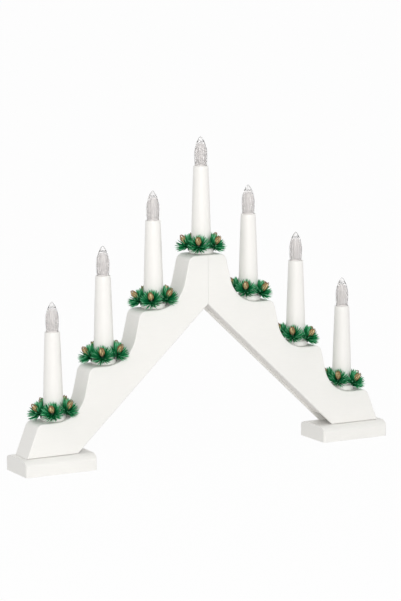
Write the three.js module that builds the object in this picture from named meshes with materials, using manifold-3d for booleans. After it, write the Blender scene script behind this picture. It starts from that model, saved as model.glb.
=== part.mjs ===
// Advent candle holder: a stepped wooden arch on two feet that carries seven electric candles.
// Each candle has a tapered sleeve on a drip dish, a screw-in flame bulb and a small wreath round its foot.
// Millimetres, +Z up. The feet stand on Z = 0, the middle candle is on X = 0, and the front faces -Y.

import * as THREE from 'three';
import { mergeVertices } from 'three/addons/utils/BufferGeometryUtils.js';
import Module from 'manifold-3d';

const wasm = await Module();
wasm.setup();

// Fits
const CLEARANCE = 0.3;
const GLUE_LINE = 0.2;

// Arch: candle places
const STEPS_PER_ARM = 3;
const MIDDLE_PITCH = 52.5;
const STEP_PITCH = 54;
const STEP_RISE = 49.8;
const LOWEST_SEAT_HEIGHT = 47.8;

// Arch: outline of one arm
const ARM_THICKNESS = 28;
const ARM_EDGE_EASE = 1.2;
const COVE_RADIUS = 31;
const COVE_SHIFT = 3;
const SHORTEST_RISER = 2;
const SHOULDER_RADIUS = 8;
const SHOULDER_REACH = 22.5;
const TOP_SHOULDER_REACH = 21;
const END_SHOULDER_REACH = 24;
const ARM_NECK = 28.6;
const ARM_TAPER_DEGREES = 0.57;
const ARM_BASE_REACH = 34;
const SHOULDER_FACETS = 4;
const COVE_FACETS = 8;

// Feet
const FOOT_LENGTH = 74.2;
const FOOT_DEPTH = 47;
const FOOT_HEIGHT = 15.6;
const FOOT_OVERHANG = 5.5;
const FOOT_TOP_ROUND = 6;
const FOOT_CORNER_ROUND = 2.5;
const FOOT_TOP_FACETS = 4;
const FOOT_CORNER_FACETS = 2;

// Groove under each arm, and what lies in it
const GROOVE_WIDTH = 22;
const GROOVE_DEPTH = 9;
const STRIP_THICKNESS = 3;
const STRIP_RECESS = 2.2;
const STRIP_END_GAP = 12;
const FOOT_CHANNEL_WIDTH = 8;
const FOOT_CHANNEL_DEPTH = 7;
const WIRE_DIAMETER = 3;
const WIRE_HOLE_DIAMETER = 6;
const WIRE_SLACK = 0.9;
const BORE_SIDES = 8;
const INLET_FROM_END = 24;
const INLET_DEPTH = 6.4;
const INLET_HOLE_DIAMETER = 6;
const INLET_FLANGE_DIAMETER = 9.4;
const INLET_FLANGE_THICKNESS = 1.2;
const INLET_WALL = 0.9;
const INLET_CHAMFER = 0.4;

// Dowels across the mitre and screws up through the feet
const DOWEL_DIAMETER = 5;
const DOWEL_LENGTH = 24;
const DOWEL_SPREAD = 8.5;
const DOWEL_BELOW_SEAT = 23;
const SCREW_END_INSET = 12;
const SCREW_SPACING = 14;
const SCREW_SHANK_DIAMETER = 3.8;
const SCREW_HEAD_DIAMETER = 7.6;
const SCREW_HEAD_HEIGHT = 3;
const SCREW_HEAD_RECESS = 0.8;
const SCREW_GRIP = 14;
const SCREW_SIDES = 10;

// Candle sleeve
const SLEEVE_HEIGHT = 85.3;
const SLEEVE_BASE_DIAMETER = 20;
const SLEEVE_TOP_DIAMETER = 14.6;
const SLEEVE_BELLY = 0.3;
const SLEEVE_WALL = 1.5;
const SLEEVE_RIM_CHAMFER = 0.5;
const SLEEVE_FLOOR = 2;
const SPIGOT_DIAMETER = 14;
const SPIGOT_DEPTH = 8;
const SPIGOT_WALL = 2.2;
const LEDGE_WIDTH = 1.2;
const LEDGE_THICKNESS = 1.6;
const SLEEVE_SIDES = 15;
const SLEEVE_RINGS = 3;

// Drip dish
const DISH_DIAMETER = 24;
const DISH_HEIGHT = 5.6;
const DISH_FLOOR = 1.6;
const DISH_WALL = 1.4;
const DISH_FOOT_INSET = 0.9;
const DISH_SPOT_MARGIN = 0.6;

// Lampholder and bulb
const HOLDER_LENGTH = 22;
const HOLDER_RECESS = 1.5;
const HOLDER_BORE_DIAMETER = 9.9;
const HOLDER_BORE_DEPTH = 12;
const HOLDER_WIRE_BORE = 4.4;
const HOLDER_RIM_WALL = 1;
const CAP_LENGTH = 11;
const CAP_NOSE = 1.6;
const COLLAR_DIAMETER = 11.6;
const BULB_HEIGHT = 28.7;
const BULB_BASE_DIAMETER = 11.7;
const BULB_DIAMETER = 12.7;
const BULB_WIDEST_AT = 0.4;
const BULB_MOUTH_DIAMETER = 7.6;
const STEM_HEIGHT = 17;
const BULB_TIP_SOLID = 8;
const BULB_SIDES = 12;
const FLAME_ROUNDNESS = 0.45;
const FLAME_RINGS = 10;
const STEM_TAPER = 0.8;
const HOLLOW_TAPER = 0.6;

// Wreath
const RING_WIRE_DIAMETER = 2.6;
const RING_OVERHANG = 1;
const SPRIG_COUNT = 5;
const SPRIG_SIDES = 5;
const SPRIG_TILT_DEGREES = 58;
const SPRIG_OUTSET = 1.2;
const SPRIG_DROP = 1;
const SPRIG_HEIGHT = 4.4;
const SPRIG_GIRTH = 6.4;
const CUP_AT = 0.5;
const BRIM_TAPER = 0.84;
const CONE_BELLY_AT = 0.4;
const NEEDLE_LENGTH = 11.4;
const MIDDLE_NEEDLE_SHARE = 0.94;
const HIGH_NEEDLE_SHARE = 0.96;
const SHORTEST_NEEDLE = 2.5;
const NEEDLE_TRIM = 0.3;
const NEEDLE_TESTS = [0.4, 0.7, 1];
const NEEDLE_UNEVENNESS = 0.06;
const LOW_SPLAY_DEGREES = 102;
const MIDDLE_SPLAY_DEGREES = 74;
const HIGH_SPLAY_DEGREES = 42;
const WREATH_REACH = 28;
const WREATH_DEPTH = 26;
const LEFT_WREATH_LEAN = 5;
const RIGHT_WREATH_LEAN = 8;
const CONE_LENGTH = 9.5;
const CONE_DIAMETER = 5.4;
const FIRST_WREATH_TURN = -118.3;
const WREATH_TURN_STEP = -3;
const RING_SIDES = 5;
const HALF_STEP = 0.5;

// Colours
const PAINTED_WOOD = 0xf3f1ea;
const BARE_BOARD = 0xc9c1b6;
const BEECH = 0xd0ab7c;
const ZINC = 0xb9bcc0;
const CABLE_WHITE = 0xe9e9e4;
const SLEEVE_WHITE = 0xf7f5ef;
const HOLDER_WHITE = 0xe4e2db;
const CAP_METAL = 0xc9c3b4;
const CLEAR_PLASTIC = 0xdfe3e4;
const SPRUCE_GREEN = 0x1f4a3a;

const radians = THREE.MathUtils.degToRad;
const coveRadius = Math.min(COVE_RADIUS, STEP_RISE - SHOULDER_RADIUS - SHORTEST_RISER);
const armBase = FOOT_HEIGHT + GLUE_LINE;
const wireRadius = WIRE_DIAMETER / 2;
const CUT_OVERRUN = 10;

function candleReach(step) {
  return step === 0 ? 0 : MIDDLE_PITCH + (step - 1) * STEP_PITCH;
}

function seatHeight(step) {
  return LOWEST_SEAT_HEIGHT + (STEPS_PER_ARM - step) * STEP_RISE;
}

function coveCentre(step) {
  return new THREE.Vector2(candleReach(step) + COVE_SHIFT, seatHeight(step) + coveRadius);
}

function shoulderCentre(step) {
  const reach = step === 0 ? TOP_SHOULDER_REACH : SHOULDER_REACH;
  const outer = step === STEPS_PER_ARM ? END_SHOULDER_REACH : reach;
  return new THREE.Vector2(candleReach(step) + outer - SHOULDER_RADIUS, seatHeight(step) - SHOULDER_RADIUS);
}

const lastCandle = candleReach(STEPS_PER_ARM);
const armBaseEnd = lastCandle + ARM_BASE_REACH;
const footOuterEnd = armBaseEnd + FOOT_OVERHANG;
const footInnerEnd = footOuterEnd - FOOT_LENGTH;

// The underside of an arm is a straight line that clears the first cove by ARM_NECK.
const undersideAngle = Math.atan2(STEP_RISE, STEP_PITCH) + radians(ARM_TAPER_DEGREES);
const downhill = new THREE.Vector2(Math.cos(undersideAngle), -Math.sin(undersideAngle));
const intoWood = new THREE.Vector2(Math.sin(undersideAngle), Math.cos(undersideAngle));
const undersideOffset = coveCentre(1).dot(intoWood) - coveRadius - ARM_NECK;
const archApex = new THREE.Vector2(0, undersideOffset / intoWood.y);
const undersideLength = (archApex.y - armBase) / -downhill.y;

// A point s along the underside from the apex, and t into the wood.
function underside(s, t) {
  return archApex.clone().addScaledVector(downhill, s).addScaledVector(intoWood, t);
}

// Where the line t into the wood crosses a height.
function undersideAtHeight(height, t) {
  const s = (archApex.y + t * intoWood.y - height) / -downhill.y;
  return underside(s, t);
}

// Where the line t into the wood crosses a distance from the middle.
function undersideAtReach(reach, t) {
  const s = (reach - t * intoWood.x) / downhill.x;
  return underside(s, t);
}

// Merges shared corners, drops empty triangles and turns the faces outwards.
function weld(source) {
  const loose = source.clone();
  loose.deleteAttribute('normal');
  loose.deleteAttribute('uv');
  const merged = mergeVertices(loose, 1e-4);
  const place = merged.getAttribute('position');
  const corner = [new THREE.Vector3(), new THREE.Vector3(), new THREE.Vector3()];
  const kept = [];
  let volume = 0;
  for (let start = 0; start < merged.index.count; start += 3) {
    const face = [0, 1, 2].map((offset) => merged.index.getX(start + offset));
    if (face[0] === face[1] || face[1] === face[2] || face[2] === face[0]) {
      continue;
    }
    face.forEach((vertex, index) => corner[index].fromBufferAttribute(place, vertex));
    volume += corner[0].dot(corner[1].clone().cross(corner[2]));
    kept.push(face);
  }
  const faces = volume < 0 ? kept.map(([a, b, c]) => [a, c, b]) : kept;
  merged.setIndex(faces.flat());
  return merged;
}

function toSolid(source) {
  const welded = weld(source);
  const vertProperties = Float32Array.from(welded.getAttribute('position').array);
  const triVerts = Uint32Array.from(welded.index.array);
  return new wasm.Manifold(new wasm.Mesh({ numProp: 3, vertProperties, triVerts }));
}

function toGeometry(solid) {
  const mesh = solid.getMesh();
  const geometry = new THREE.BufferGeometry();
  geometry.setAttribute('position', new THREE.BufferAttribute(Float32Array.from(mesh.vertProperties), 3));
  geometry.setIndex(Array.from(mesh.triVerts));
  const flat = geometry.toNonIndexed();
  flat.computeVertexNormals();
  return flat;
}

function arc(centre, radius, fromDegrees, toDegrees, facets) {
  const points = [];
  for (let i = 0; i <= facets; i += 1) {
    const angle = radians(fromDegrees + ((toDegrees - fromDegrees) * i) / facets);
    points.push(new THREE.Vector2(centre.x + radius * Math.cos(angle), centre.y + radius * Math.sin(angle)));
  }
  return points;
}

// Extrudes an outline drawn in the front view (X, Z) through the given width, centred on Y = 0.
function frontPrism(points, width, ease = 0) {
  const shape = new THREE.Shape(points);
  const bevel = { bevelThickness: ease, bevelSize: ease, bevelOffset: -ease, bevelSegments: 1 };
  const options = { depth: width - 2 * ease, bevelEnabled: ease > 0, steps: 1, ...bevel };
  const geometry = new THREE.ExtrudeGeometry(shape, options);
  geometry.translate(0, 0, ease - width / 2);
  geometry.rotateX(Math.PI / 2);
  return geometry;
}

function mirrored(points, side) {
  return points.map((point) => new THREE.Vector2(point.x * side, point.y));
}

// Revolves a profile of [radius, height] pairs about the Z axis.
function revolve(profile, sides) {
  const points = profile.map(([radius, height]) => new THREE.Vector2(radius, height));
  const geometry = new THREE.LatheGeometry(points, sides);
  geometry.rotateX(Math.PI / 2);
  return weld(geometry);
}

function closed(profile) {
  return [...profile, profile[0]];
}

// A round bar or drill that stands on Z, from one height to another.
function uprightRod(diameter, fromZ, toZ, x, sides = SLEEVE_SIDES) {
  const geometry = new THREE.CylinderGeometry(diameter / 2, diameter / 2, toZ - fromZ, sides);
  geometry.rotateX(Math.PI / 2);
  geometry.translate(x, 0, (fromZ + toZ) / 2);
  return geometry;
}

function rodBetween(from, to, diameter, sides) {
  const length = from.distanceTo(to);
  const geometry = new THREE.CylinderGeometry(diameter / 2, diameter / 2, length, sides);
  const direction = to.clone().sub(from).normalize();
  const turn = new THREE.Quaternion().setFromUnitVectors(new THREE.Vector3(0, 1, 0), direction);
  geometry.applyQuaternion(turn);
  const middle = from.clone().add(to).multiplyScalar(0.5);
  geometry.translate(middle.x, middle.y, middle.z);
  return geometry;
}

// Everything on one side of the mitre plane, less half the glue line.
function sideBlock(side) {
  const width = footOuterEnd + CUT_OVERRUN;
  const height = seatHeight(0) + SLEEVE_HEIGHT;
  const block = new THREE.BoxGeometry(width, FOOT_DEPTH * 2, height * 2);
  block.translate(side * (width / 2 + GLUE_LINE / 2), 0, 0);
  return toSolid(block);
}

// Feet

const screwShank = SCREW_SHANK_DIAMETER / 2;
const screwHead = SCREW_HEAD_DIAMETER / 2;
const screwTip = armBase + SCREW_GRIP;
const screwReaches = [SCREW_END_INSET, SCREW_END_INSET + SCREW_SPACING].map((inset) => armBaseEnd - inset);

function screwProfile(extra) {
  const neck = SCREW_HEAD_RECESS + SCREW_HEAD_HEIGHT;
  const bottom = extra > 0 ? -CUT_OVERRUN : SCREW_HEAD_RECESS;
  return [
    [0, bottom],
    [screwHead + extra, bottom],
    [screwHead + extra, SCREW_HEAD_RECESS],
    [screwShank + extra, neck],
    [screwShank + extra, screwTip - screwShank],
    [0, screwTip + extra],
  ];
}

function footSolid(side) {
  const half = FOOT_DEPTH / 2;
  const round = FOOT_TOP_ROUND;
  const top = FOOT_HEIGHT - round;
  const section = [
    new THREE.Vector2(-half, 0),
    new THREE.Vector2(half, 0),
    ...arc(new THREE.Vector2(half - round, top), round, 0, 90, FOOT_TOP_FACETS),
    ...arc(new THREE.Vector2(round - half, top), round, 90, 180, FOOT_TOP_FACETS),
  ];
  const bar = frontPrism(section, FOOT_LENGTH);
  bar.rotateZ(Math.PI / 2);

  const corner = FOOT_CORNER_ROUND;
  const reach = FOOT_LENGTH / 2 - corner;
  const depth = half - corner;
  const plan = [
    ...arc(new THREE.Vector2(reach, depth), corner, 0, 90, FOOT_CORNER_FACETS),
    ...arc(new THREE.Vector2(-reach, depth), corner, 90, 180, FOOT_CORNER_FACETS),
    ...arc(new THREE.Vector2(-reach, -depth), corner, 180, 270, FOOT_CORNER_FACETS),
    ...arc(new THREE.Vector2(reach, -depth), corner, 270, 360, FOOT_CORNER_FACETS),
  ];
  const block = new THREE.ExtrudeGeometry(new THREE.Shape(plan), { depth: FOOT_HEIGHT, bevelEnabled: false });

  const middle = (side * (footOuterEnd + footInnerEnd)) / 2;
  let foot = toSolid(bar).intersect(toSolid(block)).translate([middle, 0, 0]);
  for (const reachOut of screwReaches) {
    const hole = revolve(screwProfile(CLEARANCE), SCREW_SIDES);
    hole.translate(side * reachOut, 0, 0);
    foot = foot.subtract(toSolid(hole));
  }
  return foot;
}

// Arms

// The angle at which a straight riser leaves a shoulder and runs into the cove below it.
function riserAngle(shoulder, cove) {
  const across = cove.clone().sub(shoulder);
  const bearing = Math.atan2(across.y, across.x);
  const swing = Math.asin((SHOULDER_RADIUS + coveRadius) / across.length());
  return THREE.MathUtils.radToDeg(bearing - swing) + 90;
}

// The angle at which the sloping outer end leaves the last shoulder.
function endAngle(shoulder, foot) {
  const across = foot.clone().sub(shoulder);
  const bearing = Math.atan2(across.y, across.x);
  return THREE.MathUtils.radToDeg(bearing + Math.acos(SHOULDER_RADIUS / across.length()));
}

function armOutline() {
  const points = [new THREE.Vector2(-CUT_OVERRUN, seatHeight(0))];
  for (let step = 0; step < STEPS_PER_ARM; step += 1) {
    const shoulder = shoulderCentre(step);
    const cove = coveCentre(step + 1);
    const angle = riserAngle(shoulder, cove);
    points.push(...arc(shoulder, SHOULDER_RADIUS, 90, angle, SHOULDER_FACETS));
    points.push(...arc(cove, coveRadius, angle + 180, 270, COVE_FACETS));
  }
  const lastShoulder = shoulderCentre(STEPS_PER_ARM);
  const baseEnd = new THREE.Vector2(armBaseEnd, armBase);
  points.push(...arc(lastShoulder, SHOULDER_RADIUS, 90, endAngle(lastShoulder, baseEnd), SHOULDER_FACETS));
  points.push(baseEnd);
  points.push(underside(undersideLength, 0));
  points.push(undersideAtReach(-CUT_OVERRUN, 0));
  return points;
}

const inletPlace = underside(undersideLength - INLET_FROM_END, INLET_DEPTH);

function seatCuts(step, side) {
  const x = side * candleReach(step);
  const seat = seatHeight(step);
  const spotFace = uprightRod(DISH_DIAMETER + 2 * DISH_SPOT_MARGIN, seat, seat + CUT_OVERRUN, x);
  const socketFloor = seat - SPIGOT_DEPTH - CLEARANCE;
  const socket = uprightRod(SPIGOT_DIAMETER + 2 * CLEARANCE, socketFloor, seat + CLEARANCE, x);
  const grooveRoof = undersideAtReach(candleReach(step), GROOVE_DEPTH).y;
  const drillEnd = Math.max(Math.min(grooveRoof, seat) - WIRE_HOLE_DIAMETER, armBase);
  const drill = uprightRod(WIRE_HOLE_DIAMETER, drillEnd, seat, x, BORE_SIDES);
  return [spotFace, socket, drill];
}

function armSolid(side) {
  const cuts = [];
  for (let step = 0; step <= STEPS_PER_ARM; step += 1) {
    cuts.push(...seatCuts(step, side));
  }

  const groove = [
    underside(-CUT_OVERRUN * 2, -CUT_OVERRUN),
    underside(undersideLength + CUT_OVERRUN * 2, -CUT_OVERRUN),
    underside(undersideLength + CUT_OVERRUN * 2, GROOVE_DEPTH),
    underside(-CUT_OVERRUN * 2, GROOVE_DEPTH),
  ];
  cuts.push(frontPrism(mirrored(groove, side), GROOVE_WIDTH));

  const channelStart = underside(undersideLength, 0).x;
  const channelEnd = lastCandle + WIRE_HOLE_DIAMETER / 2;
  const channelRoof = armBase + FOOT_CHANNEL_DEPTH;
  const channel = [
    new THREE.Vector2(channelStart, armBase - CLEARANCE),
    new THREE.Vector2(channelEnd, armBase - CLEARANCE),
    new THREE.Vector2(channelEnd, channelRoof),
    new THREE.Vector2(channelStart, channelRoof),
  ];
  cuts.push(frontPrism(mirrored(channel, side), FOOT_CHANNEL_WIDTH));

  for (const y of [-DOWEL_SPREAD, DOWEL_SPREAD]) {
    cuts.push(dowelGeometry(y, CLEARANCE));
  }
  for (const reach of screwReaches) {
    const pilot = revolve(screwProfile(CLEARANCE), SCREW_SIDES);
    pilot.translate(side * reach, 0, 0);
    cuts.push(pilot);
  }
  if (side > 0) {
    const from = new THREE.Vector3(inletPlace.x, GROOVE_WIDTH / 2 - CLEARANCE, inletPlace.y);
    const to = new THREE.Vector3(inletPlace.x, ARM_THICKNESS / 2 + CUT_OVERRUN, inletPlace.y);
    cuts.push(rodBetween(from, to, INLET_HOLE_DIAMETER, BULB_SIDES));
  }

  const blank = frontPrism(mirrored(armOutline(), side), ARM_THICKNESS, ARM_EDGE_EASE);
  let arm = toSolid(blank).intersect(sideBlock(side));
  for (const cut of cuts) {
    arm = arm.subtract(toSolid(cut));
  }
  return arm;
}

function dowelGeometry(y, extra) {
  const height = seatHeight(0) - DOWEL_BELOW_SEAT;
  const half = DOWEL_LENGTH / 2 + extra;
  const from = new THREE.Vector3(-half, y, height);
  const to = new THREE.Vector3(half, y, height);
  return rodBetween(from, to, DOWEL_DIAMETER + 2 * extra, SCREW_SIDES);
}

function coverStripSolid(side) {
  const near = STRIP_RECESS;
  const far = STRIP_RECESS + STRIP_THICKNESS;
  const end = undersideLength - STRIP_END_GAP;
  const outline = [
    underside(-CUT_OVERRUN, near),
    underside(end, near),
    underside(end, far),
    underside(-CUT_OVERRUN, far),
  ];
  const strip = frontPrism(mirrored(outline, side), GROOVE_WIDTH - 2 * CLEARANCE);
  return toSolid(strip).intersect(sideBlock(side));
}

// Wiring: one run along both grooves, with a riser up each candle to its lampholder

const holderTop = SLEEVE_HEIGHT - HOLDER_RECESS;
const holderBottom = holderTop - HOLDER_LENGTH;

function wiringSolid() {
  const depth = GROOVE_DEPTH - CLEARANCE - wireRadius;
  const channelMiddle = armBase + FOOT_CHANNEL_DEPTH - CLEARANCE - wireRadius;
  const bend = undersideAtHeight(channelMiddle, depth);
  const apex = undersideAtReach(0, depth);
  const at = (x, z) => new THREE.Vector3(x, 0, z);
  const legs = [];
  for (const side of [-1, 1]) {
    legs.push([at(0, apex.y), at(side * bend.x, bend.y)]);
    legs.push([at(side * bend.x, bend.y), at(side * lastCandle, channelMiddle)]);
    for (let step = side < 0 ? 1 : 0; step <= STEPS_PER_ARM; step += 1) {
      const reach = candleReach(step);
      const start = reach > bend.x ? channelMiddle : undersideAtReach(reach, depth).y;
      const end = seatHeight(step) + holderTop - HOLDER_BORE_DEPTH - WIRE_SLACK;
      legs.push([at(side * reach, start), at(side * reach, end)]);
    }
  }
  const knuckle = new THREE.SphereGeometry(wireRadius, BORE_SIDES, BORE_SIDES / 2);
  const corners = [at(0, apex.y)];
  for (const side of [-1, 1]) {
    corners.push(at(side * bend.x, bend.y), at(side * lastCandle, channelMiddle));
  }
  const pieces = legs.map(([from, to]) => toSolid(rodBetween(from, to, WIRE_DIAMETER, BORE_SIDES)));
  pieces.push(...corners.map((corner) => toSolid(knuckle.clone().translate(corner.x, 0, corner.z))));
  return pieces.reduce((whole, piece) => whole.add(piece));
}

function inletBushGeometry() {
  const hole = INLET_HOLE_DIAMETER / 2 - CLEARANCE;
  const bore = hole - INLET_WALL;
  const face = ARM_THICKNESS / 2 + CLEARANCE / 2;
  const inside = GROOVE_WIDTH / 2 + CLEARANCE;
  const outside = face + INLET_FLANGE_THICKNESS;
  const flange = INLET_FLANGE_DIAMETER / 2;
  const profile = closed([
    [bore, inside],
    [hole, inside],
    [hole, face],
    [flange, face],
    [flange, outside - INLET_CHAMFER],
    [flange - INLET_CHAMFER, outside],
    [bore, outside],
  ]);
  const bush = revolve(profile, BULB_SIDES);
  bush.rotateX(-Math.PI / 2);
  bush.translate(inletPlace.x, 0, inletPlace.y);
  return bush;
}

// Candle pieces, each drawn with its seat on the arm at Z = 0

const sleeveFoot = DISH_FLOOR + GLUE_LINE;
const spigotRadius = SPIGOT_DIAMETER / 2;

function sleeveRadius(height) {
  const drop = 1 - height / SLEEVE_HEIGHT;
  const swell = drop * (1 + SLEEVE_BELLY * (1 - drop));
  return (SLEEVE_TOP_DIAMETER + (SLEEVE_BASE_DIAMETER - SLEEVE_TOP_DIAMETER) * swell) / 2;
}

const holderRadius = SLEEVE_TOP_DIAMETER / 2 - HOLDER_RIM_WALL - CLEARANCE;
const ledgeHeight = holderBottom - CLEARANCE;

function sleeveGeometry() {
  const rim = SLEEVE_HEIGHT - SLEEVE_RIM_CHAMFER;
  const pocket = holderRadius + CLEARANCE;
  const ledgeUnder = ledgeHeight - LEDGE_THICKNESS;
  const spigotBore = spigotRadius - SPIGOT_WALL;
  const floorTop = sleeveFoot + SLEEVE_FLOOR;
  const station = (i) => sleeveFoot + ((rim - sleeveFoot) * i) / SLEEVE_RINGS;
  const outer = Array.from({ length: SLEEVE_RINGS }, (unused, i) => [sleeveRadius(station(i)), station(i)]);
  const profile = closed([
    [spigotBore, -SPIGOT_DEPTH],
    [spigotRadius, -SPIGOT_DEPTH],
    [spigotRadius, sleeveFoot],
    ...outer,
    [sleeveRadius(rim), rim],
    [sleeveRadius(rim) - SLEEVE_RIM_CHAMFER, SLEEVE_HEIGHT],
    [pocket, SLEEVE_HEIGHT],
    [pocket, ledgeHeight],
    [pocket - LEDGE_WIDTH, ledgeHeight],
    [pocket - LEDGE_WIDTH, ledgeUnder],
    [sleeveRadius(ledgeUnder) - SLEEVE_WALL, ledgeUnder],
    [sleeveRadius(floorTop) - SLEEVE_WALL, floorTop],
    [spigotBore, floorTop],
  ]);
  return revolve(profile, SLEEVE_SIDES);
}

const dishRadius = DISH_DIAMETER / 2;

function dishGeometry() {
  const bore = spigotRadius + CLEARANCE;
  const foot = dishRadius - DISH_FOOT_INSET;
  const profile = closed([
    [bore, GLUE_LINE],
    [foot, GLUE_LINE],
    [dishRadius, GLUE_LINE + DISH_FOOT_INSET],
    [dishRadius, DISH_HEIGHT],
    [dishRadius - DISH_WALL, DISH_HEIGHT],
    [dishRadius - DISH_WALL, DISH_FLOOR],
    [bore, DISH_FLOOR],
  ]);
  return revolve(profile, SLEEVE_SIDES);
}

function holderGeometry() {
  const bore = HOLDER_BORE_DIAMETER / 2;
  const wireBore = HOLDER_WIRE_BORE / 2;
  const boreFloor = holderTop - HOLDER_BORE_DEPTH;
  const profile = closed([
    [wireBore, holderBottom],
    [holderRadius, holderBottom],
    [holderRadius, holderTop],
    [bore, holderTop],
    [bore, boreFloor],
    [wireBore, boreFloor],
  ]);
  return revolve(profile, BULB_SIDES);
}

// The screw cap, the collar under the glass and the light stem inside it are one piece.
function bulbBaseGeometry() {
  const cap = HOLDER_BORE_DIAMETER / 2 - CLEARANCE;
  const collar = COLLAR_DIAMETER / 2;
  const collarFoot = holderTop + CLEARANCE;
  const capBottom = collarFoot - CAP_LENGTH;
  const stem = BULB_MOUTH_DIAMETER / 2 - 2 * CLEARANCE;
  const stemTop = SLEEVE_HEIGHT + STEM_HEIGHT;
  const profile = [
    [0, capBottom],
    [cap / 2, capBottom],
    [cap, capBottom + CAP_NOSE],
    [cap, collarFoot],
    [collar, collarFoot],
    [collar, SLEEVE_HEIGHT],
    [stem, SLEEVE_HEIGHT],
    [stem * STEM_TAPER, stemTop - stem],
    [0, stemTop],
  ];
  return revolve(profile, BULB_SIDES);
}

// Half width of the flame at a share of its height: a short swell, then a full curve between an
// ellipse and a cosine that closes at the tip.
function flameRadius(share) {
  const widest = BULB_DIAMETER / 2;
  if (share < BULB_WIDEST_AT) {
    const rise = share / BULB_WIDEST_AT;
    return BULB_BASE_DIAMETER / 2 + (widest - BULB_BASE_DIAMETER / 2) * Math.sin((rise * Math.PI) / 2);
  }
  const fall = (share - BULB_WIDEST_AT) / (1 - BULB_WIDEST_AT);
  const ellipse = Math.sqrt(1 - fall * fall);
  return widest * (ellipse * FLAME_ROUNDNESS + Math.cos((fall * Math.PI) / 2) * (1 - FLAME_ROUNDNESS));
}

function bulbFlameGeometry() {
  const foot = SLEEVE_HEIGHT + CLEARANCE;
  const height = BULB_HEIGHT - CLEARANCE;
  const mouth = BULB_MOUTH_DIAMETER / 2;
  const hollowTop = SLEEVE_HEIGHT + BULB_HEIGHT - BULB_TIP_SOLID;
  const shares = Array.from({ length: FLAME_RINGS }, (unused, i) => i / FLAME_RINGS);
  const outer = shares.map((share) => [flameRadius(share), foot + height * share]);
  const profile = [
    [0, hollowTop],
    [mouth * HOLLOW_TAPER, hollowTop - mouth * (1 - HOLLOW_TAPER)],
    [mouth, hollowTop - mouth],
    [mouth, foot],
    ...outer,
    [0, foot + height],
  ];
  return revolve(profile, BULB_SIDES);
}

// Wreaths

const ringRadius = dishRadius - RING_WIRE_DIAMETER / 2 + RING_OVERHANG;
const ringHeight = DISH_HEIGHT + CLEARANCE + RING_WIRE_DIAMETER / 2;

// True where a needle may reach: clear of the sleeve, dish, seat and cove, and within the wreath's reach.
function isFree(point, outward) {
  const fromAxis = Math.hypot(point.x, point.y);
  const margin = 2 * CLEARANCE;
  if (fromAxis > WREATH_REACH || Math.abs(point.y) > WREATH_DEPTH) {
    return false;
  }
  if (fromAxis < sleeveRadius(Math.max(point.z, 0)) + margin) {
    return false;
  }
  if (fromAxis < dishRadius + margin && point.z < DISH_HEIGHT + CLEARANCE) {
    return false;
  }
  if (Math.abs(point.y) > ARM_THICKNESS / 2 + margin) {
    return point.z > 0;
  }
  if (point.z < margin) {
    return false;
  }
  const coveSide = outward === 0 ? 0 : point.x * outward - COVE_SHIFT;
  const above = point.z - coveRadius;
  return coveSide >= 0 || above > 0 || Math.hypot(coveSide, above) < coveRadius - margin;
}

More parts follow.
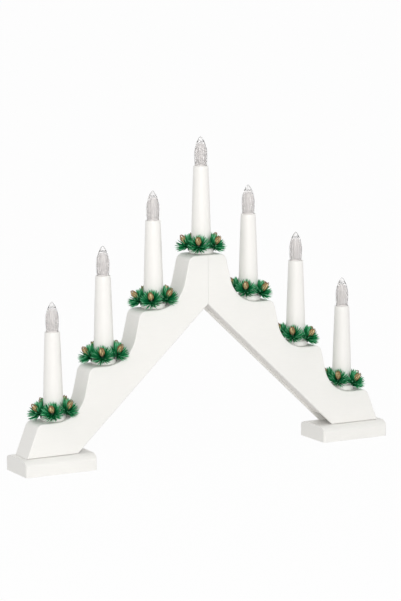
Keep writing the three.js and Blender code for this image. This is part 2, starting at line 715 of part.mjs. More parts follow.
// A sprig is a bud of flat faces on the ring: each face of its cup is drawn out into a three-sided needle,
// and its top carries on into a pointed cone.
function sprigGeometry(turn, pose, outward, seed) {
  const tilt = radians(SPRIG_TILT_DEGREES);
  const radial = new THREE.Vector3(Math.cos(turn), Math.sin(turn), 0);
  const root = radial.clone().multiplyScalar(ringRadius + SPRIG_OUTSET).setZ(-SPRIG_DROP).applyMatrix4(pose);
  const axis = radial.clone().multiplyScalar(Math.cos(tilt)).setZ(Math.sin(tilt)).transformDirection(pose);
  const sideways = new THREE.Vector3(-radial.y, radial.x, 0).transformDirection(pose);
  const lift = axis.clone().cross(sideways);

  const onAxis = (along) => root.clone().addScaledVector(axis, along);
  const whorl = (along, radius, twist) => Array.from({ length: SPRIG_SIDES }, (unused, i) => {
    const bearing = ((i + twist) * 2 * Math.PI) / SPRIG_SIDES;
    const point = onAxis(along).addScaledVector(sideways, radius * Math.cos(bearing));
    return point.addScaledVector(lift, radius * Math.sin(bearing));
  });
  const heel = onAxis(-SPRIG_DROP);
  const cup = whorl(SPRIG_HEIGHT * CUP_AT, SPRIG_GIRTH / 2, 0);
  const brim = whorl(SPRIG_HEIGHT, (SPRIG_GIRTH / 2) * BRIM_TAPER, HALF_STEP);
  const belly = whorl(SPRIG_HEIGHT + CONE_LENGTH * CONE_BELLY_AT, CONE_DIAMETER / 2, HALF_STEP);
  const coneTip = onAxis(SPRIG_HEIGHT + CONE_LENGTH);

  const corners = [];
  const growNeedle = (face, splayDegrees, share) => {
    const middle = face[0].clone().add(face[1]).add(face[2]).multiplyScalar(1 / 3);
    const out = middle.clone().sub(root);
    out.addScaledVector(axis, -out.dot(axis)).normalize();
    const splay = radians(splayDegrees);
    const way = axis.clone().multiplyScalar(Math.cos(splay)).addScaledVector(out, Math.sin(splay));
    const along = (distance) => middle.clone().addScaledVector(way, distance);
    const fits = (length) => NEEDLE_TESTS.every((part) => isFree(along(length * part), outward));
    let length = NEEDLE_LENGTH * share;
    while (!fits(length) && length > SHORTEST_NEEDLE) {
      length -= NEEDLE_TRIM;
    }
    if (length > SHORTEST_NEEDLE) {
      const tip = along(length);
      corners.push(face[0], face[1], tip, face[1], face[2], tip, face[2], face[0], tip);
    } else {
      corners.push(...face);
    }
  };
  for (let i = 0; i < SPRIG_SIDES; i += 1) {
    const next = (i + 1) % SPRIG_SIDES;
    const share = 1 - NEEDLE_UNEVENNESS * ((i * 2 + seed) % 3);
    growNeedle([heel, cup[next], cup[i]], LOW_SPLAY_DEGREES, share);
    growNeedle([cup[i], cup[next], brim[i]], MIDDLE_SPLAY_DEGREES, MIDDLE_NEEDLE_SHARE);
    growNeedle([cup[next], brim[next], brim[i]], HIGH_SPLAY_DEGREES, HIGH_NEEDLE_SHARE * share);
    corners.push(brim[i], brim[next], belly[i], brim[next], belly[next], belly[i]);
    corners.push(belly[i], belly[next], coneTip);
  }
  return new THREE.BufferGeometry().setFromPoints(corners);
}

// A wreath beside a cove leans outwards on the rim of its dish.
function wreathPose(outward) {
  const lean = radians(outward < 0 ? LEFT_WREATH_LEAN : RIGHT_WREATH_LEAN) * outward;
  const lift = ringRadius * Math.sin(Math.abs(lean));
  return new THREE.Matrix4().makeRotationY(lean).setPosition(0, 0, ringHeight + lift);
}

function wreathSolid(turnDegrees, outward) {
  const pose = wreathPose(outward);
  const ring = new THREE.TorusGeometry(ringRadius, RING_WIRE_DIAMETER / 2, RING_SIDES, SPRIG_COUNT * 3);
  let wreath = toSolid(ring.applyMatrix4(pose));
  for (let i = 0; i < SPRIG_COUNT; i += 1) {
    const turn = radians(turnDegrees + (360 / SPRIG_COUNT) * i);
    wreath = wreath.add(toSolid(sprigGeometry(turn, pose, outward, i)));
  }
  return wreath;
}

// Assembly

const holder = new THREE.Group();

function addPiece(parent, name, geometry, color, roughness, metalness = 0) {
  const material = new THREE.MeshStandardMaterial({ color, roughness, metalness });
  const mesh = new THREE.Mesh(geometry, material);
  mesh.name = name;
  parent.add(mesh);
}

for (const [word, side] of [['left', -1], ['right', 1]]) {
  addPiece(holder, `${word}_foot`, toGeometry(footSolid(side)), PAINTED_WOOD, 0.55);
  addPiece(holder, `${word}_arm`, toGeometry(armSolid(side)), PAINTED_WOOD, 0.55);
  addPiece(holder, `${word}_cover_strip`, toGeometry(coverStripSolid(side)), BARE_BOARD, 0.85);
  for (const [index, place] of ['outer', 'inner'].entries()) {
    const screw = revolve(screwProfile(0), SCREW_SIDES);
    screw.translate(side * screwReaches[index], 0, 0);
    addPiece(holder, `${word}_${place}_foot_screw`, screw, ZINC, 0.35, 1);
  }
}
addPiece(holder, 'front_dowel', dowelGeometry(-DOWEL_SPREAD, 0), BEECH, 0.7);
addPiece(holder, 'back_dowel', dowelGeometry(DOWEL_SPREAD, 0), BEECH, 0.7);
addPiece(holder, 'wiring', toGeometry(wiringSolid()), CABLE_WHITE, 0.5);
addPiece(holder, 'cable_inlet_bush', inletBushGeometry(), CABLE_WHITE, 0.5);

for (let place = -STEPS_PER_ARM; place <= STEPS_PER_ARM; place += 1) {
  const number = place + STEPS_PER_ARM + 1;
  const step = Math.abs(place);
  const outward = Math.sign(place);
  const candle = new THREE.Group();
  candle.position.set(outward * candleReach(step), 0, seatHeight(step));
  const turn = FIRST_WREATH_TURN + (number - 1) * WREATH_TURN_STEP;
  addPiece(candle, `candle_sleeve_${number}`, sleeveGeometry(), SLEEVE_WHITE, 0.4);
  addPiece(candle, `drip_dish_${number}`, dishGeometry(), SLEEVE_WHITE, 0.4);
  addPiece(candle, `lampholder_${number}`, holderGeometry(), HOLDER_WHITE, 0.45);
  addPiece(candle, `bulb_cap_${number}`, bulbBaseGeometry(), CAP_METAL, 0.35, 0.9);
  addPiece(candle, `bulb_flame_${number}`, bulbFlameGeometry(), CLEAR_PLASTIC, 0.15);
  addPiece(candle, `wreath_${number}`, toGeometry(wreathSolid(turn, outward)), SPRUCE_GREEN, 0.7);
  holder.add(candle);
}

export default holder;
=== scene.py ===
import math
import random
from collections import namedtuple

import bmesh
import bpy
from bpy.props import FloatProperty, FloatVectorProperty, IntProperty, PointerProperty
from mathutils import Matrix, Vector


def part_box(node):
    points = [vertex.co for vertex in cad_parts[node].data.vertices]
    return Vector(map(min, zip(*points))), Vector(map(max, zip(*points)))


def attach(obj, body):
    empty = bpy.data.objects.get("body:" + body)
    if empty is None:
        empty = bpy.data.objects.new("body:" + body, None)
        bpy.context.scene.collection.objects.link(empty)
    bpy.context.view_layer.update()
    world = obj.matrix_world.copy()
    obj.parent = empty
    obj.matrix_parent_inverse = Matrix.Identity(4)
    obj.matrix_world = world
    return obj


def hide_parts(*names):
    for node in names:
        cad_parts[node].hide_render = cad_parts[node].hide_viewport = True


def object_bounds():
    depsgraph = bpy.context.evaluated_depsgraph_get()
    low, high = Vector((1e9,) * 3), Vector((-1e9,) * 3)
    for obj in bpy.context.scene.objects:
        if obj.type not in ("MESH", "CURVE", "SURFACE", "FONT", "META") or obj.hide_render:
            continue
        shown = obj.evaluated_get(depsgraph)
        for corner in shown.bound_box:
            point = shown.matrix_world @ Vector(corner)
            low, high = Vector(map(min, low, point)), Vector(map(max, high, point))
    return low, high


bl_info = {
    "name": "Advent candle holder",
    "version": (1, 0, 0),
    "blender": (4, 5, 0),
    "location": "3D View > Sidebar > Candle holder",
    "description": "Dresses a stepped wooden candle arch with seven electric candles and their wreaths",
    "category": "Object",
}

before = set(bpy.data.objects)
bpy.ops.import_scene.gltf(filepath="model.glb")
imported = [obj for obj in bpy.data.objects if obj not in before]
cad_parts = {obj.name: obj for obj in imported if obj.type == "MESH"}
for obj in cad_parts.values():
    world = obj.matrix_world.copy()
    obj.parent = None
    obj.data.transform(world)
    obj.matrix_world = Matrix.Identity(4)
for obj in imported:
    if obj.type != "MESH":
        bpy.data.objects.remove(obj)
CAD_BOX = [list(corner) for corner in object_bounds()]

MM = 0.001
CANDLES = range(1, 8)
MIDDLE = 4
STEPS = 3
CLEARANCE = 0.3 * MM
GLUE_LINE = 0.2 * MM
OVERRUN = 10 * MM
SIDES = (("left", -1), ("right", 1))
QUARTER = math.pi / 2

SLEEVE_HEIGHT = 85.3 * MM
BULB_HEIGHT = 28.7 * MM


def candle_place(number):
    """Where a candle's axis meets its seat on the arch, taken from its flame in the frame."""
    low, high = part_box(f"bulb_flame_{number}")
    return Vector(((low.x + high.x) / 2, 0, high.z - BULB_HEIGHT - SLEEVE_HEIGHT))


PLACES = {number: candle_place(number) for number in CANDLES}
REACH = [PLACES[MIDDLE + step].x for step in range(STEPS + 1)]
SEAT = [PLACES[MIDDLE + step].z for step in range(STEPS + 1)]
FOOT_LOW, FOOT_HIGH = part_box("right_foot")
ARM_LOW, ARM_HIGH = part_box("right_arm")
BUSH_LOW, BUSH_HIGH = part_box("cable_inlet_bush")
BUSH_MIDDLE = (BUSH_LOW + BUSH_HIGH) / 2
DEPTH = min(-CAD_BOX[0][1], CAD_BOX[1][1])


def length(name, description, millimetres):
    return FloatProperty(name=name, description=description, default=millimetres * MM, unit="LENGTH")


def colour(name, description, value):
    return FloatVectorProperty(
        name=name, description=description, default=value, size=3, min=0, max=1, subtype="COLOR"
    )


class ArchSizes(bpy.types.PropertyGroup):
    """Sizes of the wooden arch and its feet."""

    ease: length("Edge ease", "Rounding of the arms' front and back edges", 1.2)
    cove: length("Cove radius", "Radius of the hollow above each seat", 31)
    cove_shift: length("Cove shift", "How far the hollow's centre lies outside the candle", 3)
    shoulder: length("Shoulder radius", "Radius of each step's outer corner", 8)
    shoulder_reach: length("Shoulder reach", "Candle axis to the step's outer face", 22.5)
    top_reach: length("Top reach", "Middle candle's axis to the top step's outer face", 21)
    end_reach: length("End reach", "Outer candle's axis to the arm's outer end", 24)
    neck: length("Neck", "Wood left between a hollow and the underside", 28.6)
    base_reach: length("Base reach", "Outer candle's axis to the arm's end on its foot", 34)
    groove_width: length("Groove width", "Width of the cable groove under each arm", 22)
    groove_depth: length("Groove depth", "Depth of the cable groove", 9)
    foot_drop: length("Foot edge drop", "Height of the routed edge along the feet's top", 5.4)
    foot_run: length("Foot edge run", "Depth of the routed edge along the feet's top", 9)
    foot_corner: length("Foot corner", "Rounding of the feet's upright edges", 2.5)


class CandleSizes(bpy.types.PropertyGroup):
    """Sizes of the candle sleeves, dishes and bulbs."""

    sleeve_base: length("Sleeve base", "Diameter of the sleeve at its foot", 20)
    sleeve_top: length("Sleeve top", "Diameter of the sleeve at its rim", 14.6)
    sleeve_wall: length("Sleeve wall", "Wall of the sleeve", 1.5)
    spigot: length("Spigot", "Diameter of the spigot under the sleeve", 14)
    spigot_depth: length("Spigot depth", "How deep the spigot goes into the arm", 8)
    dish: length("Dish", "Diameter of the drip dish", 24)
    dish_height: length("Dish height", "Height of the drip dish", 5.6)
    dish_floor: length("Dish floor", "Thickness of the dish floor", 1.6)
    holder_bore: length("Holder bore", "Bore of the lampholder", 9.9)
    flame: length("Flame", "Widest diameter of the flame bulb", 12.7)
    flame_base: length("Flame base", "Diameter of the flame bulb at its foot", 11.7)
    flame_hollow: length("Flame hollow", "Bore inside the flame bulb", 9.2)
    light_stem: length("Light stem", "Diameter of the stem inside the flame", 6.4)
    ribs: IntProperty(name="Ribs", description="Ribs round one flame bulb", default=16)
    rib_depth: length("Rib depth", "Height of a rib on the flame bulb", 0.12)
    thread_pitch: length("Thread pitch", "Rise of the screw cap for one turn", 1.81)


class WreathSizes(bpy.types.PropertyGroup):
    """Sizes of the small wreaths."""

    ring: length("Ring radius", "Radius of the wreath's wire ring", 11.7)
    wire: length("Wire", "Thickness of the ring wire", 1.5)
    tilt: FloatProperty(
        name="Sprig tilt",
        description="Angle of a sprig above level",
        default=math.radians(58),
        subtype="ANGLE",
    )
    sprigs: IntProperty(name="Sprigs", description="Sprigs on one wreath", default=5)
    needles: IntProperty(name="Needles", description="Needles on one sprig", default=108)
    needle: length("Needle length", "Length of the longest needles", 11.2)
    girth: length("Needle girth", "Half width of a needle", 0.62)
    reach: length("Reach", "Furthest a needle stands from the candle's axis", 27.8)
    cone: length("Cone length", "Length of a cone", 10.6)
    seed: IntProperty(name="Seed", description="Changes how the needles fall", default=7)


class Finish(bpy.types.PropertyGroup):
    """Colours of the holder."""

    paint: colour("Paint", "Satin paint on the wood", (0.9, 0.89, 0.86))
    board: colour("Board", "Cover strips in the grooves", (0.9, 0.875, 0.84))
    beech: colour("Beech", "Dowels across the mitre", (0.6, 0.41, 0.22))
    sleeve: colour("Candle", "Candle sleeves and dishes", (0.93, 0.915, 0.885))
    holder: colour("Lampholder", "Lampholders in the sleeves", (0.78, 0.76, 0.7))
    flame: colour("Flame", "Clear flame bulbs", (0.975, 0.97, 0.97))
    # The flame edge colour is painted shade: it greys the flame where its surface is seen edge on.
    flame_edge: colour("Flame edge", "Where a look crosses more of the plastic", (0.62, 0.61, 0.625))
    flame_haze: colour("Flame haze", "Milky haze in the flame's body", (0.95, 0.91, 0.895))
    stem: colour("Light stem", "Frosted stem in the bulb", (0.95, 0.93, 0.92))
    cap: colour("Screw cap", "Metal of the screw caps", (0.72, 0.68, 0.6))
    zinc: colour("Screws", "Zinc on the foot screws", (0.62, 0.63, 0.66))
    cable: colour("Cable", "Wiring and bush", (0.8, 0.8, 0.77))
    # Painted shade: the needles' colour near their roots, also used for darker streaks.
    needle_dark: colour("Needle", "Needles near their roots", (0.001, 0.026, 0.008))
    needle_green: colour("Needle middle", "Needles half way up", (0.004, 0.4, 0.12))
    # Painted highlight: the pale colour of the needles' tips.
    needle_tip: colour("Needle tip", "Tips of the needles", (0.34, 0.88, 0.55))
    wreath_wire: colour("Wreath wire", "Wire ring of the wreaths", (0.0012, 0.0312, 0.0096))
    husk: colour("Cone", "Middle of a cone's scales", (0.8, 0.61, 0.32))
    husk_rim: colour("Cone rim", "Edges of a cone's scales", (0.27, 0.14, 0.06))


class Socket:
    """An output in a node tree that takes part in Python sums."""

    def __init__(self, tree, link):
        self.tree = tree
        self.link = link

    def math(self, operation, first, second):
        return self.tree.node("ShaderNodeMath", {"operation": operation}, {0: first, 1: second})

    def __add__(self, other):
        return self.math("ADD", self, other)

    def __mul__(self, other):
        return self.math("MULTIPLY", self, other)

    def __sub__(self, other):
        return self.math("SUBTRACT", self, other)

    def __rsub__(self, other):
        return self.math("SUBTRACT", other, self)

    def __pow__(self, other):
        return self.math("POWER", self, other)

    __radd__ = __add__
    __rmul__ = __mul__


class Tree:
    """Adds nodes to a shader or geometry tree."""

    def __init__(self, tree):
        self.tree = tree

    def node(self, kind, settings=None, inputs=None, output=0):
        node = self.tree.nodes.new(kind)
        for name, value in (settings or {}).items():
            setattr(node, name, value)
        for key, value in (inputs or {}).items():
            self.feed(self.find(node.inputs, key), value)
        return Socket(self, self.find(node.outputs, output)) if len(node.outputs) else node

    def find(self, sockets, key):
        if isinstance(key, int):
            return sockets[key]
        by_identifier = [s for s in sockets if s.identifier == key]
        by_name = [s for s in sockets if s.name == key and s.enabled]
        return (by_identifier or by_name)[0]

    def feed(self, socket, value):
        if isinstance(value, Socket):
            self.tree.links.new(value.link, socket)
        else:
            socket.default_value = value

    def mix(self, factor, first, second):
        """A colour between two, by a factor."""
        inputs = {"Factor_Float": factor, "A_Color": opaque(first), "B_Color": opaque(second)}
        return self.node("ShaderNodeMix", {"data_type": "RGBA"}, inputs, "Result_Color")

    def noise(self, scale, detail=2.0, stretch=(1, 1, 1), roughness=0.5):
        """Noise on the object's own coordinates, in metres."""
        place = self.node("ShaderNodeTexCoord", output="Object")
        place = self.node("ShaderNodeMapping", None, {"Vector": place, "Scale": stretch})
        inputs = {"Vector": place, "Scale": scale, "Detail": detail, "Roughness": roughness}
        return self.node("ShaderNodeTexNoise", None, inputs, "Fac")

    def ramp(self, factor, low=0.3, high=0.7):
        """Stretches a factor so that low becomes 0 and high becomes 1."""
        inputs = {"Value": factor, "From Min": low, "From Max": high}
        return self.node("ShaderNodeMapRange", {"clamp": True}, inputs, "Result")

    def shades(self, factor, value, low, high):
        """A colour between a darker and a lighter shade of one."""
        return self.mix(factor, shaded(value, low), shaded(value, high))

    def attribute(self, name):
        return self.node("ShaderNodeAttribute", {"attribute_name": name}, output="Fac")

    def bump(self, height, strength, distance):
        inputs = {"Height": height, "Strength": strength, "Distance": distance}
        return self.node("ShaderNodeBump", None, inputs, "Normal")


def opaque(value):
    """A colour with its alpha, or a socket as it is."""
    return value if isinstance(value, Socket) else (*value, 1.0)


def shaded(colour_value, factor):
    return tuple(min(1.0, channel * factor) for channel in colour_value)


def dress(tree, shader, **values):
    """Sets a shader's inputs, each to a value or a link."""
    for key, value in values.items():
        tree.feed(shader.inputs[key.replace("_", " ").title().replace("Ior", "IOR")], value)


def new_material(name, colour_value, roughness, **fixed):
    """A material with one Principled shader, and its tree and shader."""
    material = bpy.data.materials.new(name)
    material.use_nodes = True
    tree = Tree(material.node_tree)
    shader = material.node_tree.nodes["Principled BSDF"]
    dress(tree, shader, base_color=opaque(colour_value), roughness=roughness, **fixed)
    return material, tree, shader


def blend(material, tree, factor, body, other):
    """Ends a material in a mix of its own shader and another."""
    mixed = tree.node("ShaderNodeMixShader", None, {0: factor, 1: Socket(tree, body.outputs[0]), 2: other})
    tree.feed(material.node_tree.nodes["Material Output"].inputs["Surface"], mixed)


def paint_material(name, finish):
    """Satin paint over wood: a faint roller texture, slightly uneven in tone and gloss."""
    material, tree, shader = new_material(name, finish.paint, 0.45)
    cloud, fibre, roller = tree.noise(14, 3), tree.noise(90, 3, (1, 1, 9)), tree.noise(900, 2)
    tone = tree.shades(tree.ramp(cloud * 0.7 + fibre * 0.3), finish.paint, 0.975, 1.02)
    normal = tree.bump(roller * 0.6 + fibre * 0.4, 0.16, 0.0004)
    dress(tree, shader, base_color=tone, roughness=0.38 + cloud * 0.14, normal=normal)
    return material


def board_material(name, finish):
    """Bare fibre board: short pale fibres in an even ground."""
    material, tree, shader = new_material(name, finish.board, 0.85)
    fibre, patch = tree.noise(420, 4, (0.3, 1, 0.3), 0.65), tree.noise(45, 2)
    tone = tree.shades(tree.ramp(fibre * 0.7 + patch * 0.3), finish.board, 0.9, 1.08)
    dress(tree, shader, base_color=tone, normal=tree.bump(fibre, 0.15, 0.0003))
    return material


def beech_material(name, finish):
    """Turned beech: straight grain with small dark flecks."""
    material, tree, shader = new_material(name, finish.beech, 0.6)
    grain = tree.noise(260, 4, (0.08, 1, 1), 0.6)
    fleck = tree.ramp(tree.noise(900, 1, (0.2, 1, 1)), 0.6, 0.72)
    ground = tree.shades(tree.ramp(grain), finish.beech, 0.8, 1.15)
    tone = tree.mix(fleck * 0.5, ground, shaded(finish.beech, 0.5))
    dress(tree, shader, base_color=tone, normal=tree.bump(grain, 0.3, 0.0002))
    return material


def plastic_material(name, finish, part, roughness):
    """Moulded plastic: faint flow marks along the moulding and a light change in gloss."""
    value = getattr(finish, part)
    material, tree, shader = new_material(name, value, roughness)
    flow, skin = tree.noise(120, 3, (1, 1, 0.12)), tree.noise(1500, 1)
    tone = tree.shades(tree.ramp(flow), value, 0.985, 1.012)
    normal = tree.bump(skin * 0.4 + flow * 0.6, 0.05, 0.0003)
    dress(tree, shader, base_color=tone, roughness=(roughness - 0.05) + flow * 0.1, normal=normal)
    return material


def metal_material(name, finish, part, roughness):
    """Plated metal with fine marks from turning."""
    value = getattr(finish, part)
    material, tree, shader = new_material(name, value, roughness, metallic=1.0)
    turned, haze = tree.noise(2400, 3, (0.15, 0.15, 1)), tree.noise(300, 2)
    tone = tree.shades(tree.ramp(haze), value, 0.86, 1.05)
    normal = tree.bump(turned, 0.12, 0.0001)
    dress(tree, shader, base_color=tone, roughness=(roughness - 0.08) + haze * 0.2, normal=normal)
    return material


def flame_material(name, finish):
    """Clear plastic that bends the light: painted shade greys its edges, it is milky low down and clear at
    the tip, and a painted highlight whitens its very top.
    """
    material, tree, shader = new_material(name, finish.flame, 0.06, transmission_weight=1.0, ior=1.49)
    cloud, tip = tree.noise(300, 2, (1, 1, 0.2)), tree.attribute("tip")
    facing = tree.node("ShaderNodeLayerWeight", None, {"Blend": 0.5}, "Facing")
    # Painted shade: the colour turns grey where the surface is seen edge on, more so at the tip.
    tone = tree.mix(facing ** (3.0 - tip * 2.2), finish.flame, finish.flame_edge)
    dress(tree, shader, base_color=tone, roughness=0.04 + cloud * 0.05, normal=tree.bump(cloud, 0.02, 0.0002))
    white = tree.mix(tip, finish.flame_haze, finish.flame)
    milk = tree.node("ShaderNodeBsdfPrincipled", None, {"Base Color": white, "Roughness": 0.4})
    # The haze attribute holds the milky body and foot and the painted highlight at the very top.
    blend(material, tree, tree.attribute("haze") * (1 - facing ** 1.2), shader, milk)
    return material


def stem_material(name, finish):
    """Frosted plastic that carries the light up the bulb."""
    material, tree, shader = new_material(name, finish.stem, 0.35, transmission_weight=0.8)
    frost = tree.noise(1800, 2)
    dress(tree, shader, roughness=0.28 + frost * 0.2, normal=tree.bump(frost, 0.3, 0.0002))
    return material


def needle_material(name, finish):
    """Moulded needles: painted shade darkens them at the root, they are green along the middle, and a painted
    highlight makes them pale at the tip.
    """
    material, tree, shader = new_material(name, finish.needle_green, 0.5, specular_ior_level=0.06)
    along, tint, streak = tree.attribute("along"), tree.attribute("tint"), tree.noise(900, 2)
    # Painted shade near the roots, deeper on needles with a low tint.
    body = tree.mix(tree.ramp(along, 0.1, 0.7) * (0.4 + tint * 0.6), finish.needle_dark, finish.needle_green)
    # Painted highlight at the tips, strongest on needles with a high tint.
    highlighted = tree.mix(tree.ramp(along, 0.45, 0.95) * (tint * tint), body, finish.needle_tip)
    # Random darker streaks in the colour of the painted root shade.
    tone = tree.mix(tree.ramp(streak, 0.45, 0.75) * 0.2, highlighted, finish.needle_dark)
    normal = tree.bump(streak, 0.2, 0.0002)
    dress(tree, shader, base_color=tone, roughness=0.42 + streak * 0.2, normal=normal)
    return material


def husk_material(name, finish):
    """Papery scales: tan in the middle and red brown at the rim."""
    material, tree, shader = new_material(name, finish.husk, 0.5)
    vein = tree.noise(1600, 3, (1, 1, 0.3))
    ground = tree.shades(tree.ramp(vein), finish.husk, 0.75, 1.35)
    edge = tree.ramp(tree.attribute("along") + (vein - 0.5) * 0.25, 0.55, 0.85)
    tone = tree.mix(edge, ground, finish.husk_rim)
    dress(tree, shader, base_color=tone, normal=tree.bump(vein, 0.4, 0.0002))
    return material


MATERIALS = {
    "satin_paint": (paint_material,),
    "fibre_board": (board_material,),
    "turned_beech": (beech_material,),
    "cable_sheath": (plastic_material, "cable", 0.5),
    "zinc": (metal_material, "zinc", 0.35),
    "sleeve_plastic": (plastic_material, "sleeve", 0.36),
    "lampholder_plastic": (plastic_material, "holder", 0.45),
    "flame_plastic": (flame_material,),
    "frosted_stem": (stem_material,),
    "cap_metal": (metal_material, "cap", 0.3),
    "collar_plastic": (plastic_material, "sleeve", 0.4),
    "moulded_needles": (needle_material,),
    "cone_husk": (husk_material,),
    "wreath_wire": (plastic_material, "wreath_wire", 0.4),
}


def material_of(name):
    """The material of that name, made the first time it is asked for. No name is one of the frame's own."""
    maker, *values = MATERIALS[name]
    return bpy.data.materials.get(name) or maker(name, bpy.context.scene.finish, *values)


def new_object(name, mesh):
    piece = bpy.data.objects.new(name, mesh)
    bpy.context.scene.collection.objects.link(piece)
    return piece


def mesh_from(bm, name, sharp_degrees=34):
    """Writes a bmesh to a mesh, smooth but for its sharp edges."""
    bmesh.ops.recalc_face_normals(bm, faces=bm.faces)
    mesh = bpy.data.meshes.new(name)
    bm.to_mesh(mesh)
    bm.free()
    soften(mesh, sharp_degrees)
    return mesh


def soften(mesh, sharp_degrees):
    mesh.polygons.foreach_set("use_smooth", [True] * len(mesh.polygons))
    mesh.set_sharp_from_angle(angle=math.radians(sharp_degrees))


def settle(piece, body, slot, material, *nodes):
    """Gives a finished piece its material and body, and hides the frame's nodes that it stands for. The slot
    is not used.
    """
    piece.data.materials.clear()
    piece.data.materials.append(material)
    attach(piece, body)
    if nodes:
        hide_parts(*nodes)
    return piece


def flatten(piece, name=None):
    """Turns a piece and its modifiers into a plain mesh."""
    evaluated = piece.evaluated_get(bpy.context.evaluated_depsgraph_get())
    mesh = bpy.data.meshes.new_from_object(evaluated)
    old = piece.data
    piece.modifiers.clear()
    piece.data = mesh
    bpy.data.meshes.remove(old)
    if name:
        mesh.name = name
    return piece


def discard(*objects):
    for piece in objects:
        mesh = piece.data
        bpy.data.objects.remove(piece)
        bpy.data.meshes.remove(mesh)


def carve(piece, cutters, operation="DIFFERENCE"):
    """Cuts a piece by several others, which are used up."""
    for other in cutters:
        cut = piece.modifiers.new("cut", "BOOLEAN")
        cut.operation = operation
        cut.solver = "EXACT"
        cut.object = other
    flatten(piece)
    discard(*cutters)
    return piece


def ease_edges(piece, width, segments=2):
    """Rounds the sharp edges and lets the flat faces keep their flat shading."""
    bevel = piece.modifiers.new("ease", "BEVEL")
    bevel.width = width
    bevel.segments = segments
    bevel.limit_method = "ANGLE"
    bevel.angle_limit = math.radians(50)
    bevel.harden_normals = False
    weld = piece.modifiers.new("weld", "WELD")
    weld.merge_threshold = 0.001 * MM
    flatten(piece)
    soften(piece.data, 40)
    weigh = piece.modifiers.new("weigh", "WEIGHTED_NORMAL")
    weigh.keep_sharp = True
    weigh.weight = 100
    flatten(piece)
    return piece


def arc(centre, radius, start, end, count):
    """Points on an arc between two angles in degrees, in the front view."""
    angles = [math.radians(start + (end - start) * i / count) for i in range(count + 1)]
    return [Vector((centre.x + radius * math.cos(a), centre.y + radius * math.sin(a))) for a in angles]


def inset(points, distance):
    """A closed outline moved inwards, with mitred corners."""
    ends = points[1:] + points[:1]
    turn = math.copysign(1, sum(p.cross(q) for p, q in zip(points, ends)))
    inward = [(q - p).orthogonal().normalized() * turn for p, q in zip(points, ends)]
    moved = []
    for i, point in enumerate(points):
        before, after = inward[i - 1], inward[i]
        moved.append(point + (before + after) * distance / (1 + before.dot(after)))
    return moved


def skin(bm, rows, closed=False):
    """Faces between neighbouring rings of vertices. A ring of one vertex is a pole."""
    for low, high in zip(rows, rows[1:] + (rows[:1] if closed else [])):
        sides = max(len(low), len(high))
        for i in range(sides):
            j = (i + 1) % sides
            corners = (low[i % len(low)], low[j % len(low)], high[j % len(high)], high[i % len(high)])
            bm.faces.new(list(dict.fromkeys(corners)))


def prism(points, half_width, ease=0.0, segments=5):
    """A bmesh of an outline in the front view, drawn out along Y, with its front and back edges eased."""
    points = [p for i, p in enumerate(points) if (p - points[i - 1]).length > 1e-6]
    levels = [(ease, half_width)]
    if ease:
        turns = [QUARTER * k / segments for k in range(1, segments + 1)]
        levels += [(ease * (1 - math.sin(a)), half_width - ease * (1 - math.cos(a))) for a in turns]
    levels += [(by, -y) for by, y in reversed(levels)]
    bm = bmesh.new()
    rows = [[bm.verts.new((p.x, y, p.y)) for p in inset(points, by)] for by, y in levels]
    bm.faces.new(rows[0])
    bm.faces.new(rows[-1][::-1])
    skin(bm, rows)
    return bm


def cutter(bm):
    """An object that cuts another and is used up."""
    return new_object("cutter", mesh_from(bm, "cutter"))


def box_cutter(size, middle=(0, 0, 0)):
    bm = bmesh.new()
    bmesh.ops.create_cube(bm, size=1.0, matrix=Matrix.Translation(middle) @ Matrix.Diagonal((*size, 1)))
    return cutter(bm)


def rod(start, end, radius, sides=24):
    """A round bar between two points, for cutting."""
    start, end = Vector(start), Vector(end)
    bm = bmesh.new()
    bmesh.ops.create_cone(
        bm, cap_ends=True, segments=sides, radius1=radius, radius2=radius, depth=(end - start).length
    )
    turn = (end - start).to_track_quat("Z", "Y").to_matrix().to_4x4()
    bmesh.ops.transform(bm, matrix=Matrix.Translation((start + end) / 2) @ turn, verts=bm.verts)
    return cutter(bm)


def add_ball(bm, matrix):
    """Adds a unit ball, stretched and placed by a matrix."""
    bmesh.ops.create_icosphere(bm, subdivisions=2, radius=1, matrix=matrix)


def circle(sides, offset=0.0):
    """The cosine and sine of evenly spaced turns."""
    angles = [2 * math.pi * (i + offset) / sides for i in range(sides)]
    return [(math.cos(a), math.sin(a)) for a in angles]


def rounding(radius, height, ease, *angles):
    """Profile points on a small arc round a point, by angle in radians."""
    return [(radius + ease * math.cos(a), height + ease * math.sin(a)) for a in angles]


def lathe(profile, sides, closed=False):
    """A bmesh of a profile of (radius, height) pairs turned round Z. Points on the axis become poles."""
    bm = bmesh.new()
    round_z = circle(sides)
    rows = []
    for radius, height in profile:
        turns = round_z if radius else round_z[:1]
        rows.append([bm.verts.new((radius * x, radius * y, height)) for x, y in turns])
    skin(bm, rows, closed)
    return bm


def turned(name, profile, sides, place, closed=False):
    """A turned piece, set down at a place."""
    mesh = mesh_from(lathe(profile, sides, closed), name)
    mesh.transform(Matrix.Translation(place))
    return new_object(name, mesh)


def on_candles(name, node, profile, sides, slot, material):
    """One turned piece on every candle, standing for its node of the frame."""
    for number in CANDLES:
        piece = turned(name.format(number), profile, sides, PLACES[number], closed=True)
        settle(piece, "holder", slot, material_of(material), node.format(number))


def shoulder_centre(s, step):
    reach = s.top_reach if step == 0 else s.end_reach if step == STEPS else s.shoulder_reach
    return Vector((REACH[step] + reach - s.shoulder, SEAT[step] - s.shoulder))


def cove_centre(s, step):
    return Vector((REACH[step] + s.cove_shift, SEAT[step] + s.cove))


